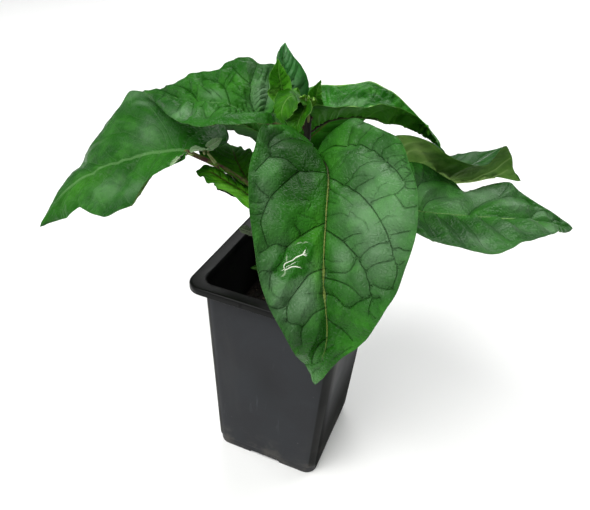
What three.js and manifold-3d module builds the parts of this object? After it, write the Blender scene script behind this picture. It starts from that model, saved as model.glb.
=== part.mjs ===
// A chilli pepper plant in a deep square nursery pot, in millimetres.
// +Z is up and the origin is the middle of the pot's underside, on the surface that the pot stands on.
// -Y is the front of the pot, the side over which the largest leaf hangs.
import * as THREE from "three";
import { mergeVertices } from "three/addons/utils/BufferGeometryUtils.js";
import Module from "manifold-3d";

const wasm = await Module();
wasm.setup();

// ---- driving dimensions, mm ----
const POT_HEIGHT = 130;
const RIM_HALF = 45; // half the width over the rim
const RIM_SKIRT = 4; // height of the skirt that the rim turns down
const RIM_CORNER = 9;
const WALL_HALF_TOP = 38.8; // half the width of the tapering wall, at the rim
const WALL_HALF_BOTTOM = 33.1;
const WALL = 1.4;
const FLOOR = 3.4; // from the standing face to the inside of the floor
const FOOT_HEIGHT = 7; // the foot is set in a little below this height
const FOOT_INSET = 0.7;
const ARCH_HALF = 10; // half the width of the recess in each bottom edge
const ARCH_HEIGHT = 2.2;
const PAD_HALF = 12; // the pad in the middle of the underside
const DRAIN_RADIUS = 3.5;
const SOIL_TOP = 92;
const GAP = 0.3; // between pieces that touch
const STEM_FOOT = 74; // the stem's lower end, in the soil
const STEM_TOP = 214;
const STEM_R = [[74, 2.6], [88, 3.5], [96, 3.2], [120, 2.9], [150, 2.7], [158, 2.9], [166, 2.6], [176, 2.2], [186, 2.0], [196, 1.8], [203, 1.8], [209, 1.6], [214, 1.2]];
const BLADE = 0.9; // thickness of a leaf blade

// ---- helpers ----
const mat = (color, roughness, metalness = 0) => new THREE.MeshStandardMaterial({ color, roughness, metalness, side: THREE.DoubleSide });
function solidOf(geometry) {
  const g = geometry.clone();
  g.deleteAttribute("normal");
  g.deleteAttribute("uv");
  const m = mergeVertices(g, 1e-4);
  return new wasm.Manifold(new wasm.Mesh({ numProp: 3, vertProperties: new Float32Array(m.attributes.position.array), triVerts: new Uint32Array(m.index.array) }));
}
function largest(solid) {
  const bodies = solid.decompose();
  bodies.sort((a, b) => b.volume() - a.volume());
  return bodies[0];
}
function geometryOf(solid) {
  const m = solid.getMesh();
  const n = m.vertProperties.length / m.numProp;
  const pos = new Float32Array(n * 3);
  for (let i = 0; i < n; i++) for (let k = 0; k < 3; k++) pos[3 * i + k] = m.vertProperties[m.numProp * i + k];
  const g = new THREE.BufferGeometry();
  g.setAttribute("position", new THREE.BufferAttribute(pos, 3));
  g.setIndex(new THREE.BufferAttribute(new Uint32Array(m.triVerts), 1));
  const flat = g.toNonIndexed();
  flat.computeVertexNormals();
  return flat;
}
function fromLists(verts, tris) {
  const g = new THREE.BufferGeometry();
  g.setAttribute("position", new THREE.Float32BufferAttribute(verts.flat(), 3));
  g.setIndex(tris.flat());
  return g;
}

// One ring of a square with rounded corners, anticlockwise seen from above.
const CORNER_STEPS = 5;
function squareRing(half, radius, z) {
  const ring = [];
  const c = half - radius;
  for (let q = 0; q < 4; q++) {
    const sx = [1, -1, -1, 1][q], sy = [1, 1, -1, -1][q];
    for (let i = 0; i <= CORNER_STEPS; i++) {
      const a = (q * 90 + (i * 90) / CORNER_STEPS) * Math.PI / 180;
      ring.push([sx * c + radius * Math.cos(a), sy * c + radius * Math.sin(a), z]);
    }
  }
  return ring;
}
// A solid from rings stacked in order, closed by a flat face at each end.
function stack(rings) {
  const n = rings[0].length;
  const verts = rings.flat();
  const tris = [];
  for (let r = 0; r + 1 < rings.length; r++)
    for (let i = 0; i < n; i++) {
      const a = r * n + i, b = r * n + ((i + 1) % n), c = a + n, d = b + n;
      tris.push([a, b, d], [a, d, c]);
    }
  const lo = verts.length;
  verts.push([0, 0, rings[0][0][2]]);
  const hi = verts.length;
  verts.push([0, 0, rings.at(-1)[0][2]]);
  const last = (rings.length - 1) * n;
  for (let i = 0; i < n; i++) {
    const j = (i + 1) % n;
    tris.push([lo, j, i], [hi, last + i, last + j]);
  }
  return solidOf(fromLists(verts, tris));
}
const box = (w, d, h, x, y, z) => solidOf(new THREE.BoxGeometry(w, d, h).translate(x, y, z));
const rod = (r, h, x, y, z, seg = 12) => solidOf(new THREE.CylinderGeometry(r, r, h, seg).rotateX(Math.PI / 2).translate(x, y, z));
const wallHalf = (z) => WALL_HALF_BOTTOM + ((WALL_HALF_TOP - WALL_HALF_BOTTOM) * z) / POT_HEIGHT;

// ---- the pot: one moulding ----
function makePot() {
  const corner = (h) => Math.max(2, 7.5 - (WALL_HALF_TOP - h) * 0.15);
  const outer = stack([
    squareRing(WALL_HALF_BOTTOM - FOOT_INSET - 0.8, 6.6, 0),
    squareRing(WALL_HALF_BOTTOM - FOOT_INSET, 7, 1),
    squareRing(wallHalf(FOOT_HEIGHT) - FOOT_INSET, 7, FOOT_HEIGHT - 0.7),
    squareRing(wallHalf(FOOT_HEIGHT), 7.4, FOOT_HEIGHT),
    squareRing(wallHalf(POT_HEIGHT - RIM_SKIRT - 4), 7.6, POT_HEIGHT - RIM_SKIRT - 4),
    squareRing(WALL_HALF_TOP, 7.8, POT_HEIGHT - 1.4),
  ]);
  const rim = stack([
    squareRing(RIM_HALF, RIM_CORNER, POT_HEIGHT - RIM_SKIRT),
    squareRing(RIM_HALF, RIM_CORNER, POT_HEIGHT - 0.7),
    squareRing(RIM_HALF - 0.7, RIM_CORNER - 0.7, POT_HEIGHT),
  ]);
  const underRim = stack([
    squareRing(RIM_HALF - 1.3, RIM_CORNER - 1.2, POT_HEIGHT - RIM_SKIRT - 1),
    squareRing(RIM_HALF - 1.3, RIM_CORNER - 1.2, POT_HEIGHT - 1.4),
  ]).subtract(stack([
    squareRing(WALL_HALF_TOP - 0.2, 7.6, POT_HEIGHT - RIM_SKIRT - 2),
    squareRing(WALL_HALF_TOP, 7.8, POT_HEIGHT),
  ]));
  const inside = stack([
    squareRing(wallHalf(FLOOR) - WALL - 1.2, 5.2, FLOOR),
    squareRing(wallHalf(FLOOR + 2) - WALL - 0.1, 6, FLOOR + 2),
    squareRing(wallHalf(POT_HEIGHT - 8) - WALL, 6.4, POT_HEIGHT - 8),
    squareRing(WALL_HALF_TOP - 1.1, 6.8, POT_HEIGHT + 2),
  ]);
  let pot = outer.add(rim).subtract(underRim).subtract(inside);
  // four shallow channels under the floor, which open as low arches in the bottom edges
  for (const [dx, dy] of [[1, 0], [-1, 0], [0, 1], [0, -1]]) {
    const from = PAD_HALF, to = WALL_HALF_BOTTOM + 3, mid = (from + to) / 2, len = to - from;
    pot = pot.subtract(box(dx ? len : 2 * ARCH_HALF, dy ? len : 2 * ARCH_HALF, 2 * ARCH_HEIGHT, dx * mid, dy * mid, 0));
    pot = pot.subtract(rod(DRAIN_RADIUS, 20, dx * 19, dy * 19, 3));
  }
  // two fine slots in the front skirt
  for (const x of [-12, 7.5]) pot = pot.subtract(box(0.9, 0.7, RIM_SKIRT + 1, x, -RIM_HALF, POT_HEIGHT - RIM_SKIRT + 0.6));
  return pot;
}

// ---- the soil fills the pot up to SOIL_TOP, a little uneven ----
function makeSoil(stemClear) {
  const rings = [
    squareRing(wallHalf(FLOOR) - WALL - 1.2 - GAP, 4.6, FLOOR + GAP),
    squareRing(wallHalf(FLOOR + 3) - WALL - GAP - 0.2, 5.6, FLOOR + 3),
    squareRing(wallHalf(SOIL_TOP) - WALL - GAP - 0.1, 6, SOIL_TOP - 2.6),
  ];
  const bump = (x, y) => 0.9 * Math.sin(x * 0.31 + 1.1) * Math.cos(y * 0.27 - 0.6) + 0.5 * Math.sin(x * 0.77 - y * 0.64);
  for (const [k, rise] of [[0.9, 0.2], [0.7, 0.6], [0.45, 0.9], [0.22, 1.3]]) {
    const ring = squareRing((wallHalf(SOIL_TOP) - WALL - 1) * k, 6 * k, SOIL_TOP - 1.6 + rise);
    rings.push(ring.map(([x, y, z]) => [x, y, z + bump(x, y)]));
  }
  return stack(rings).subtract(stemClear);
}

// ---- the main stem ----
function makeStem(grow = 0) {
  const profile = [new THREE.Vector2(0, STEM_FOOT - grow)];
  for (const [z, r] of STEM_R) profile.push(new THREE.Vector2(r + grow, z === STEM_R[0][0] ? z - grow : z === STEM_R.at(-1)[0] ? z + grow : z));
  profile.push(new THREE.Vector2(0, STEM_TOP + grow));
  return solidOf(new THREE.LatheGeometry(profile, 10).rotateX(Math.PI / 2));
}

// ---- leaves ----
// Each leaf is a midrib curve with rays that sweep out from it to both margins. The rays turn
// towards the tip on their way out, and each half blade folds up from the midrib and curls.
const U_WIDTH = [0, 0.05, 0.12, 0.22, 0.34, 0.48, 0.62, 0.75, 0.86, 0.94, 1];
const U_RAY = [0, 0.06, 0.14, 0.25, 0.4, 0.6, 0.8, 1];
const RAY_AT_MIDRIB = [-62, -42, -18, 4, 18, 27, 33, 38].map((a) => (a * Math.PI) / 180);
const RAY_TURN = [48, 44, 36, 26, 20, 16, 14, 12].map((a) => (a * Math.PI) / 180);
const U_BEND = [0, 0.33, 0.66, 1];
const V = {
  add: (a, b, s = 1) => [a[0] + b[0] * s, a[1] + b[1] * s, a[2] + b[2] * s],
  dot: (a, b) => a[0] * b[0] + a[1] * b[1] + a[2] * b[2],
  cross: (a, b) => [a[1] * b[2] - a[2] * b[1], a[2] * b[0] - a[0] * b[2], a[0] * b[1] - a[1] * b[0]],
  scale: (a, s) => [a[0] * s, a[1] * s, a[2] * s],
  unit: (a) => { const l = Math.hypot(...a) || 1; return [a[0] / l, a[1] / l, a[2] / l]; },
};
// A smooth curve through the values ys (numbers or points) at the stations xs.
function smooth(xs, ys, x) {
  const n = xs.length;
  const vec = Array.isArray(ys[0]);
  const get = (i) => (vec ? ys[i] : [ys[i]]);
  const slope = (i) => {
    const lo = Math.max(0, i - 1), hi = Math.min(n - 1, i + 1);
    if (lo === i) return get(1).map((v, k) => (v - get(0)[k]) / (xs[1] - xs[0]));
    if (hi === i) return get(i).map((v, k) => (v - get(i - 1)[k]) / (xs[i] - xs[i - 1]));
    const h0 = xs[i] - xs[i - 1], h1 = xs[i + 1] - xs[i];
    return get(i).map((v, k) => (h1 * (v - get(i - 1)[k]) / h0 + h0 * (get(i + 1)[k] - v) / h1) / (h0 + h1));
  };
  let k = 0;
  while (k < n - 2 && x >= xs[k + 1]) k++;
  const h = xs[k + 1] - xs[k], t = (x - xs[k]) / h, m0 = slope(k), m1 = slope(k + 1);
  const out = get(k).map((v, i) => (2 * t ** 3 - 3 * t ** 2 + 1) * v + (t ** 3 - 2 * t ** 2 + t) * h * m0[i] + (-2 * t ** 3 + 3 * t ** 2) * get(k + 1)[i] + (t ** 3 - t ** 2) * h * m1[i]);
  return vec ? out : out[0];
}
function frameAt(leaf, u) {
  const um = leaf.mid.map((_, i) => i / (leaf.mid.length - 1));
  const c = smooth(um, leaf.mid, u);
  const t = V.unit(V.add(smooth(um, leaf.mid, Math.min(1, u + 1e-3)), smooth(um, leaf.mid, Math.max(0, u - 1e-3)), -1));
  const n0 = V.unit(V.add(leaf.up, t, -V.dot(leaf.up, t)));
  const b0 = V.cross(t, n0);
  const r = smooth(U_BEND, leaf.roll, u), cr = Math.cos(r), sr = Math.sin(r);
  return { c, t, n: V.add(V.scale(n0, cr), b0, sr), b: V.add(V.scale(b0, cr), n0, -sr) };
}
function bladePoint(leaf, u, v, extra = 0) {
  const f = frameAt(leaf, u), s = v < 0 ? -1 : 1, a = Math.abs(v), steps = 6;
  const w = Math.max(smooth(U_WIDTH, v < 0 ? leaf.wl : leaf.wr, u), 0.7) + extra;
  const fold = smooth(U_BEND, v < 0 ? leaf.fl : leaf.fr, u), curl = smooth(U_BEND, v < 0 ? leaf.cl : leaf.cr, u);
  const ray = smooth(U_RAY, RAY_AT_MIDRIB, u), turn = smooth(U_RAY, RAY_TURN, u);
  let p = f.c;
  for (let i = 0; i < steps; i++) {
    const t = ((i + 0.5) / steps) * a, ps = ray + turn * t, th = fold + curl * t, l = (w * a) / steps;
    p = V.add(p, f.b, Math.cos(th) * Math.cos(ps) * s * l);
    p = V.add(p, f.t, Math.cos(th) * Math.sin(ps) * l);
    p = V.add(p, f.n, Math.sin(th) * l);
  }
  return p;
}
function makeBlade(leaf, grow) {
  const us = leaf.big ? [0, 0.035, 0.08, 0.14, 0.21, 0.29, 0.37, 0.46, 0.55, 0.64, 0.73, 0.81, 0.88, 0.94, 0.985]
    : leaf.tiny ? [0, 0.12, 0.3, 0.5, 0.7, 0.86, 0.975] : [0, 0.06, 0.15, 0.27, 0.4, 0.54, 0.68, 0.81, 0.91, 0.98];
  const vs = leaf.big ? [-1, -0.72, -0.36, 0, 0.36, 0.72, 1] : [-1, -0.5, 0, 0.5, 1];
  const half = BLADE / 2 + grow, nu = us.length, nv = vs.length;
  const grid = us.map((u) => vs.map((v) => bladePoint(leaf, u, v, v === 0 ? 0 : grow)));
  if (grow) {
    grid.forEach((row, i) => { if (i === nu - 1) { const f = frameAt(leaf, us[i]); row.forEach((p, j) => (row[j] = V.add(p, f.t, grow))); } });
  }
  const normal = grid.map((row) => row.map(() => [0, 0, 0]));
  for (let i = 0; i + 1 < nu; i++)
    for (let j = 0; j + 1 < nv; j++) {
      const n = V.unit(V.cross(V.add(grid[i][j + 1], grid[i + 1][j], -1), V.add(grid[i + 1][j + 1], grid[i][j], -1)));
      for (const [a, b] of [[i, j], [i + 1, j], [i, j + 1], [i + 1, j + 1]]) normal[a][b] = V.add(normal[a][b], n);
    }
  const verts = [], id = (side, i, j) => side * nu * nv + i * nv + j;
  for (const side of [0, 1])
    for (let i = 0; i < nu; i++)
      for (let j = 0; j < nv; j++) {
        const edge = Math.abs(vs[j]) === 1 ? 0.6 : 1;
        verts.push(V.add(grid[i][j], V.unit(normal[i][j]), (side ? -1 : 1) * (BLADE / 2 * edge + grow)));
      }
  const tris = [];
  const quad = (a, b, c, d) => tris.push([a, b, c], [a, c, d]);
  for (let i = 0; i + 1 < nu; i++)
    for (let j = 0; j + 1 < nv; j++) {
      quad(id(0, i, j), id(0, i + 1, j), id(0, i + 1, j + 1), id(0, i, j + 1));
      quad(id(1, i, j), id(1, i, j + 1), id(1, i + 1, j + 1), id(1, i + 1, j));
    }
  for (let i = 0; i + 1 < nu; i++) {
    quad(id(0, i, 0), id(1, i, 0), id(1, i + 1, 0), id(0, i + 1, 0));
    quad(id(0, i, nv - 1), id(0, i + 1, nv - 1), id(1, i + 1, nv - 1), id(1, i, nv - 1));
  }
  for (let j = 0; j + 1 < nv; j++) {
    quad(id(0, 0, j), id(0, 0, j + 1), id(1, 0, j + 1), id(1, 0, j));
    quad(id(0, nu - 1, j), id(1, nu - 1, j), id(1, nu - 1, j + 1), id(0, nu - 1, j + 1));
  }
  let s = solidOf(fromLists(verts, tris));
  if (s.volume() < 0) s = solidOf(fromLists(verts, tris.map(([a, b, c]) => [a, c, b])));
  return s;
}
function tube(points, radius, steps, sides = 6) {
  const curve = new THREE.CatmullRomCurve3(points.map((p) => new THREE.Vector3(...p)), false, "centripetal");
  const ring = new THREE.Shape();
  for (let i = 0; i < sides; i++) {
    const a = (i / sides) * 2 * Math.PI;
    ring[i ? "lineTo" : "moveTo"](radius * Math.cos(a), radius * Math.sin(a));
  }
  ring.closePath();
  let s = solidOf(new THREE.ExtrudeGeometry(ring, { steps, extrudePath: curve, bevelEnabled: false, curveSegments: 1 }));
  return s;
}
// A leaf: blade and stalk in one, and the stalk runs a little way on below the midrib.
function makeLeaf(leaf, grow = 0) {
  const into = leaf.into ?? [0.05, 0.11];
  const path = [...leaf.stalk];
  const f0 = frameAt(leaf, 0);
  path.push(V.add(f0.c, f0.n, -leaf.stalkR * 0.3));
  for (const u of into) { const f = frameAt(leaf, u); path.push(V.add(f.c, f.n, -leaf.stalkR * 0.45)); }
  return makeBlade(leaf, grow).add(tube(path, leaf.stalkR + grow, leaf.tiny ? 6 : 10, leaf.tiny ? 5 : 6));
}

// ---- the leaves: midrib points, the two half widths along the rays at U_WIDTH, then roll, fold and curl at U_BEND ----
const LEAVES = {
  leaf_front: {
    color: 0x2f6a3a, big: true, stalkR: 1.3,
    stalk: [[0, 0, 194.5], [4.2, -5, 197.8]],
    mid: [[11.04, -13.87, 201.81], [22.95, -34.84, 204.81], [30.95, -57.39, 197.55], [37.53, -74.0, 180.37], [43.8, -81.22, 158.1], [41.41, -82.33, 132.85]],
    up: [0.0, -0.287, 0.958], roll: [-0.106, -0.029, 0.098, 0.045],
    wl: [4.64, 21.86, 25.19, 34.46, 40.76, 36.08, 26.5, 14.27, 7.64, 3.59, 0.0],
    wr: [6.59, 19.15, 30.36, 35.76, 34.17, 28.47, 22.8, 17.02, 10.38, 4.89, 0.0],
    fl: [0.753, 0.483, 0.326, 0.235], fr: [0.77, 0.428, 0.323, 0.279], cl: [0.224, -0.037, -0.053, 0.066], cr: [0.237, -0.063, -0.051, 0.096],
  },
  leaf_upper_right: {
    color: 0x3d7d22, big: true, stalkR: 0.95,
    stalk: [[0, 0, 198], [-1.4, 5.2, 200.4]],
    mid: [[-2.85, 9.69, 202.17], [2.63, 14.79, 206.5], [10.09, 19.3, 208.76], [21.66, 25.88, 208.76], [39.0, 36.0, 204.64], [57.72, 45.98, 193.32]],
    up: [0.0, -0.196, 0.981], roll: [0.304, 0.282, 0.194, 0.117],
    wl: [12.48, 17.96, 23.13, 25.78, 25.71, 25.87, 19.6, 12.67, 7.92, 4.29, 0.0],
    wr: [7.5, 15.72, 28.77, 28.87, 28.08, 24.48, 18.99, 13.83, 8.29, 3.79, 0.0],
    fl: [0.173, 0.119, 0.506, 0.518], fr: [1.488, 1.055, 1.123, 0.961], cl: [-0.335, -0.435, -0.194, -0.084], cr: [0.012, -0.239, -0.191, -0.08],
  },
  leaf_upper_left: {
    color: 0x3d7f3c, big: true, stalkR: 1.1,
    stalk: [[0, 0, 202], [-8, -2.5, 206.3]],
    mid: [[-20.72, -6.47, 209.91], [-27.78, -7.72, 212.55], [-39.39, -8.23, 214.88], [-57.05, -2.72, 210.9], [-79.78, 6.67, 206.19], [-106.72, 20.06, 199.92]],
    up: [-0.089, -0.445, 0.891], roll: [0.716, 0.317, 0.14, 0.104],
    wl: [12.74, 18.67, 24.48, 31.0, 28.97, 21.33, 16.45, 11.69, 6.94, 3.15, 0.0],
    wr: [7.6, 16.9, 30.84, 31.39, 28.57, 22.42, 18.9, 13.9, 7.63, 3.04, 0.0],
    fl: [0.299, 0.1, 0.146, -0.027], fr: [0.568, 0.435, 0.408, 0.038], cl: [0.136, -0.174, -0.206, -0.178], cr: [0.162, -0.07, -0.1, -0.094],
  },
  leaf_right: {
    color: 0x3a7a37, big: true, stalkR: 1.25,
    stalk: [[0, 0, 170], [18, -4, 176.5], [38, -8.6, 181.5]],
    mid: [[56.95, -13.31, 185.31], [69.25, -7.36, 183.94], [82.11, -0.46, 183.15], [96.89, 11.48, 180.1], [111.69, 26.58, 174.55], [130.76, 39.88, 168.5]],
    up: [0.0, -0.243, 0.97], roll: [0.022, -0.213, -0.058, 0.008],
    wl: [13.84, 22.25, 28.37, 34.12, 35.75, 34.17, 26.83, 16.45, 9.66, 4.71, 0.0],
    wr: [16.72, 24.14, 31.97, 41.23, 33.49, 27.54, 21.97, 15.66, 9.57, 4.49, 0.0],
    fl: [0.604, 0.02, 0.351, 0.249], fr: [0.355, 0.243, 0.286, 0.112], cl: [0.154, -0.219, -0.052, 0.008], cr: [-0.073, -0.181, -0.131, -0.092],
  },
  leaf_far_left: {
    color: 0x3c7b3d, big: true, stalkR: 1.25,
    stalk: [[0, 0, 163], [-14, -3, 168], [-29.2, -5, 174], [-42.4, -5.5, 179], [-54, -8.2, 183.5]],
    mid: [[-59.83, -12.01, 187.15], [-67.34, -10.71, 185.59], [-85.07, -14.04, 179.93], [-107.63, -20.8, 170.09], [-125.76, -29.42, 154.95], [-139.03, -40.37, 134.66]],
    up: [-0.215, -0.646, 0.732], roll: [0.46, 0.081, 0.149, 0.027],
    wl: [13.4, 21.44, 31.86, 40.35, 41.74, 34.66, 23.46, 18.06, 9.65, 3.85, 0.0],
    wr: [8.45, 23.35, 31.49, 43.33, 54.35, 42.61, 28.82, 16.96, 8.83, 3.61, 0.0],
    fl: [0.283, 0.22, 0.032, -0.25], fr: [-0.139, 0.1, -0.081, -0.227], cl: [-0.132, -0.225, -0.316, -0.359], cr: [-0.476, -0.366, -0.406, -0.359],
  },
  leaf_right_rolled: {
    color: 0x5d7a45, big: true, stalkR: 1.2,
    stalk: [[0, 0, 180], [14, 9, 184], [28, 19, 187]],
    mid: [[40.18, 26.67, 188.22], [54.57, 27.03, 186.14], [66.07, 32.04, 182.46], [77.1, 40.73, 181.9], [88.17, 50.29, 182.31], [101.01, 53.0, 181.71]],
    up: [0.094, -0.329, 0.94], roll: [-0.325, -0.304, -0.257, 0.062],
    wl: [18.23, 23.38, 27.25, 28.32, 26.94, 24.46, 20.98, 16.97, 9.91, 4.25, 0.0],
    wr: [18.65, 23.97, 30.95, 26.44, 28.13, 27.21, 25.05, 17.26, 9.1, 3.7, 0.0],
    fl: [0.457, 0.415, 0.562, 0.69], fr: [1.136, 1.033, 1.276, 1.207], cl: [-0.374, -0.52, -0.397, -0.266], cr: [-0.222, -0.373, -0.231, -0.21],
  },
  leaf_low_left: {
    color: 0x4e8f24, stalkR: 1.0,
    stalk: [[0, 0, 157], [-9, -3.5, 161]],
    mid: [[-19.09, -7.19, 165.07], [-26.92, -7.54, 168.89], [-34.69, -7.59, 171.65], [-42.27, -7.03, 173.65], [-50.6, -5.42, 174.88], [-59.13, -5.01, 172.74]],
    up: [-0.095, -0.286, 0.953], roll: [0.284, 0.354, 0.144, -0.035],
    wl: [8.61, 11.38, 13.51, 13.88, 12.65, 10.25, 8.14, 5.85, 4.02, 2.04, 0.0],
    wr: [8.66, 11.1, 12.73, 12.77, 12.21, 10.44, 8.22, 6.18, 4.25, 2.14, 0.0],
    fl: [0.276, 0.38, 0.192, 0.202], fr: [0.113, 0.08, 0.176, 0.492], cl: [-0.248, -0.302, -0.428, -0.24], cr: [-0.433, -0.581, -0.477, -0.13],
  },
  leaf_top_back: {
    color: 0x2c6440, stalkR: 0.8,
    stalk: [[0, 0, 208.5], [-5, 3.5, 213]],
    mid: [[-13.65, 14.92, 215.6], [-15.27, 13.18, 220.64], [-17.38, 12.57, 225.69], [-19.49, 13.27, 230.49], [-20.83, 15.38, 235.38], [-21.6, 19.15, 240.17]],
    up: [0.264, -0.66, 0.704], roll: [0.115, 0.151, 0.03, -0.016],
    wl: [5.88, 7.99, 9.89, 10.87, 10.5, 8.98, 6.92, 4.78, 2.91, 1.36, 0.0],
    wr: [5.61, 7.86, 9.56, 10.16, 9.8, 8.44, 6.73, 4.78, 2.92, 1.37, 0.0],
    fl: [1.086, 1.007, 0.91, 0.664], fr: [0.35, 0.4, 0.334, 0.193], cl: [-0.014, -0.099, -0.153, -0.079], cr: [-0.072, -0.145, -0.179, -0.1],
  },
  leaf_top_young: {
    color: 0x57963a, tiny: true, stalkR: 0.7,
    stalk: [[0, 0, 205], [-8, 6.5, 211]],
    mid: [[-12.82, 6.59, 217.74], [-15.37, 3.52, 221.74], [-15.13, 0.95, 225.81], [-15.37, -1.06, 230.05], [-15.24, -2.7, 233.94], [-15.24, -4.46, 239.03]],
    up: [0.272, -0.724, 0.634], roll: [-0.094, -0.162, -0.119, -0.009],
    wl: [4.16, 5.44, 6.48, 6.86, 6.44, 5.6, 4.54, 3.13, 1.82, 0.82, 0.0],
    wr: [4.2, 5.43, 6.37, 6.64, 6.18, 5.45, 4.45, 3.16, 1.89, 0.86, 0.0],
    fl: [0.685, 0.628, 0.331, 0.44], fr: [0.742, 0.708, 0.475, 0.468], cl: [0.014, 0.043, -0.064, -0.012], cr: [0.065, 0.117, 0.022, 0.012],
  },
  tip_leaf_curled: {
    color: 0x4f8a2c, tiny: true, stalkR: 0.6,
    stalk: [[0, 0, 212], [-2, -1.5, 217.5]],
    mid: [[-3.19, -5.76, 223.25], [-5.43, -7.89, 224.98], [-6.78, -10.64, 224.38], [-7.57, -13.35, 222.05], [-7.54, -15.04, 218.5], [-6.33, -15.24, 214.16]],
    up: [-0.183, -0.365, 0.913], roll: [0.132, 0.032, -0.032, -0.014],
    wl: [4.27, 5.55, 6.66, 7.52, 7.94, 7.1, 5.53, 3.77, 2.22, 1.0, 0.0],
    wr: [4.71, 6.08, 7.09, 7.14, 6.57, 5.64, 4.7, 3.47, 2.16, 1.02, 0.0],
    fl: [0.351, 0.158, 0.098, 0.136], fr: [0.226, 0.181, 0.177, 0.196], cl: [-0.286, -0.475, -0.605, -0.481], cr: [-0.375, -0.513, -0.607, -0.487],
  },
  tip_leaf_pointed: {
    color: 0x5fa02c, tiny: true, stalkR: 0.55,
    stalk: [[0, 0, 209.5], [0.6, 4.4, 213.5]],
    mid: [[0.98, 6.55, 216.5], [1.08, 4.78, 219.5], [1.87, 2.5, 222.5], [3.28, -0.51, 226.0], [5.03, -3.75, 230.0], [7.55, -8.63, 235.0]],
    up: [0.191, -0.858, 0.477], roll: [0.0, 0.0, 0.0, 0.0],
    wl: [2.3, 3.16, 3.97, 4.43, 4.49, 4.14, 3.34, 2.3, 1.38, 0.63, 0.0],
    wr: [2.3, 3.16, 3.97, 4.43, 4.49, 4.14, 3.34, 2.3, 1.38, 0.63, 0.0],
    fl: [0.35, 0.3, 0.25, 0.2], fr: [0.35, 0.3, 0.25, 0.2], cl: [-0.15, -0.15, -0.1, -0.1], cr: [-0.15, -0.15, -0.1, -0.1],
  },
  tip_leaf_drooping: {
    color: 0x3f6f1c, tiny: true, stalkR: 0.55,
    stalk: [[0, 0, 210.5], [1.2, -3.6, 216]],
    mid: [[0.41, -7.2, 221.35], [0.37, -8.63, 219.6], [0.1, -10.31, 217.9], [-0.24, -11.77, 215.89], [-0.19, -13.02, 213.58], [0.26, -13.46, 210.78]],
    up: [0.0, -0.514, 0.857], roll: [0.244, 0.211, 0.126, 0.048],
    wl: [4.02, 5.41, 6.78, 7.77, 7.75, 6.69, 5.22, 3.61, 2.15, 0.99, 0.0],
    wr: [3.89, 5.36, 6.92, 7.86, 7.83, 6.95, 5.46, 3.73, 2.17, 0.97, 0.0],
    fl: [0.586, 0.601, 0.561, 0.483], fr: [0.211, 0.352, 0.415, 0.4], cl: [-0.123, -0.207, -0.336, -0.287], cr: [-0.353, -0.377, -0.438, -0.346],
  },
  tip_leaf_crinkled: {
    color: 0x7cb52c, tiny: true, stalkR: 0.55,
    stalk: [[0, 0, 212.5], [-0.2, 0.4, 215]],
    mid: [[-1.0, 1.31, 217.92], [-0.9, -0.36, 219.19], [-0.93, -1.94, 220.61], [-0.74, -3.34, 222.18], [-0.55, -4.6, 223.86], [-0.62, -5.7, 225.83]],
    up: [0.097, -0.87, 0.483], roll: [0.081, 0.053, 0.042, 0.046],
    wl: [1.94, 2.62, 3.2, 3.47, 3.32, 2.9, 2.32, 1.63, 0.98, 0.45, 0.0],
    wr: [1.82, 2.52, 3.12, 3.38, 3.27, 2.91, 2.35, 1.67, 1.0, 0.46, 0.0],
    fl: [0.227, 0.241, 0.29, 0.323], fr: [0.113, 0.157, 0.2, 0.219], cl: [-0.447, -0.643, -0.613, -0.393], cr: [-0.528, -0.704, -0.668, -0.452],
  },
  leaf_back_left: {
    color: 0x23401c, stalkR: 1.0,
    stalk: [[0, 0, 175], [-9, 9, 178.5], [-18, 20, 181]],
    mid: [[-24.76, 29.19, 182.73], [-32.21, 28.72, 185.46], [-38.63, 27.59, 187.71], [-44.66, 26.97, 189.77], [-52.51, 27.51, 191.66], [-63.41, 26.14, 194.56]],
    up: [0.0, -0.196, 0.981], roll: [0.151, 0.117, 0.014, -0.101],
    wl: [12.6, 17.08, 21.04, 22.76, 21.67, 17.38, 13.35, 9.59, 5.83, 2.68, 0.0],
    wr: [12.31, 16.56, 20.32, 22.51, 22.49, 19.38, 15.1, 10.16, 5.84, 2.59, 0.0],
    fl: [0.367, 0.39, 0.248, 0.008], fr: [0.151, 0.283, 0.395, 0.323], cl: [-0.215, -0.203, -0.291, -0.416], cr: [-0.321, -0.25, -0.181, -0.227],
  },
  leaf_inner_left: {
    color: 0x37491f, stalkR: 0.9,
    stalk: [[0, 0, 158], [-11, 1.5, 163.5], [-21, 1, 168]],
    mid: [[-29.69, -0.4, 170.17], [-34.43, 4.48, 172.0], [-39.33, 7.79, 174.77], [-43.88, 11.65, 177.34], [-48.13, 16.65, 178.89], [-51.87, 22.15, 179.21]],
    up: [0.185, -0.647, 0.74], roll: [0.384, 0.284, 0.149, 0.148],
    wl: [8.21, 11.51, 15.1, 18.33, 22.23, 24.57, 19.99, 12.73, 6.25, 2.43, 0.0],
    wr: [9.23, 11.61, 13.42, 14.57, 16.89, 16.29, 12.96, 9.09, 5.57, 2.57, 0.0],
    fl: [0.603, 0.456, 0.353, 0.372], fr: [-0.144, -0.113, -0.086, -0.069], cl: [0.142, 0.014, -0.066, -0.066], cr: [-0.462, -0.43, -0.399, -0.38],
  },
  leaf_back: {
    color: 0x1f4710, stalkR: 1.0,
    stalk: [[0, 0, 175], [-5.5, 14, 177.5], [-12, 28.5, 179.8]],
    mid: [[-17.2, 40.2, 180.6], [-11.34, 46.44, 186.65], [-6.55, 54.28, 191.48], [-3.96, 64.34, 192.48], [-0.97, 74.34, 192.93], [4.6, 82.99, 194.82]],
    up: [0.0, -0.1, 0.995], roll: [-0.083, -0.066, 0.079, 0.03],
    wl: [15.22, 18.57, 20.62, 20.68, 20.64, 18.88, 16.35, 12.49, 7.57, 3.42, 0.0],
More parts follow.
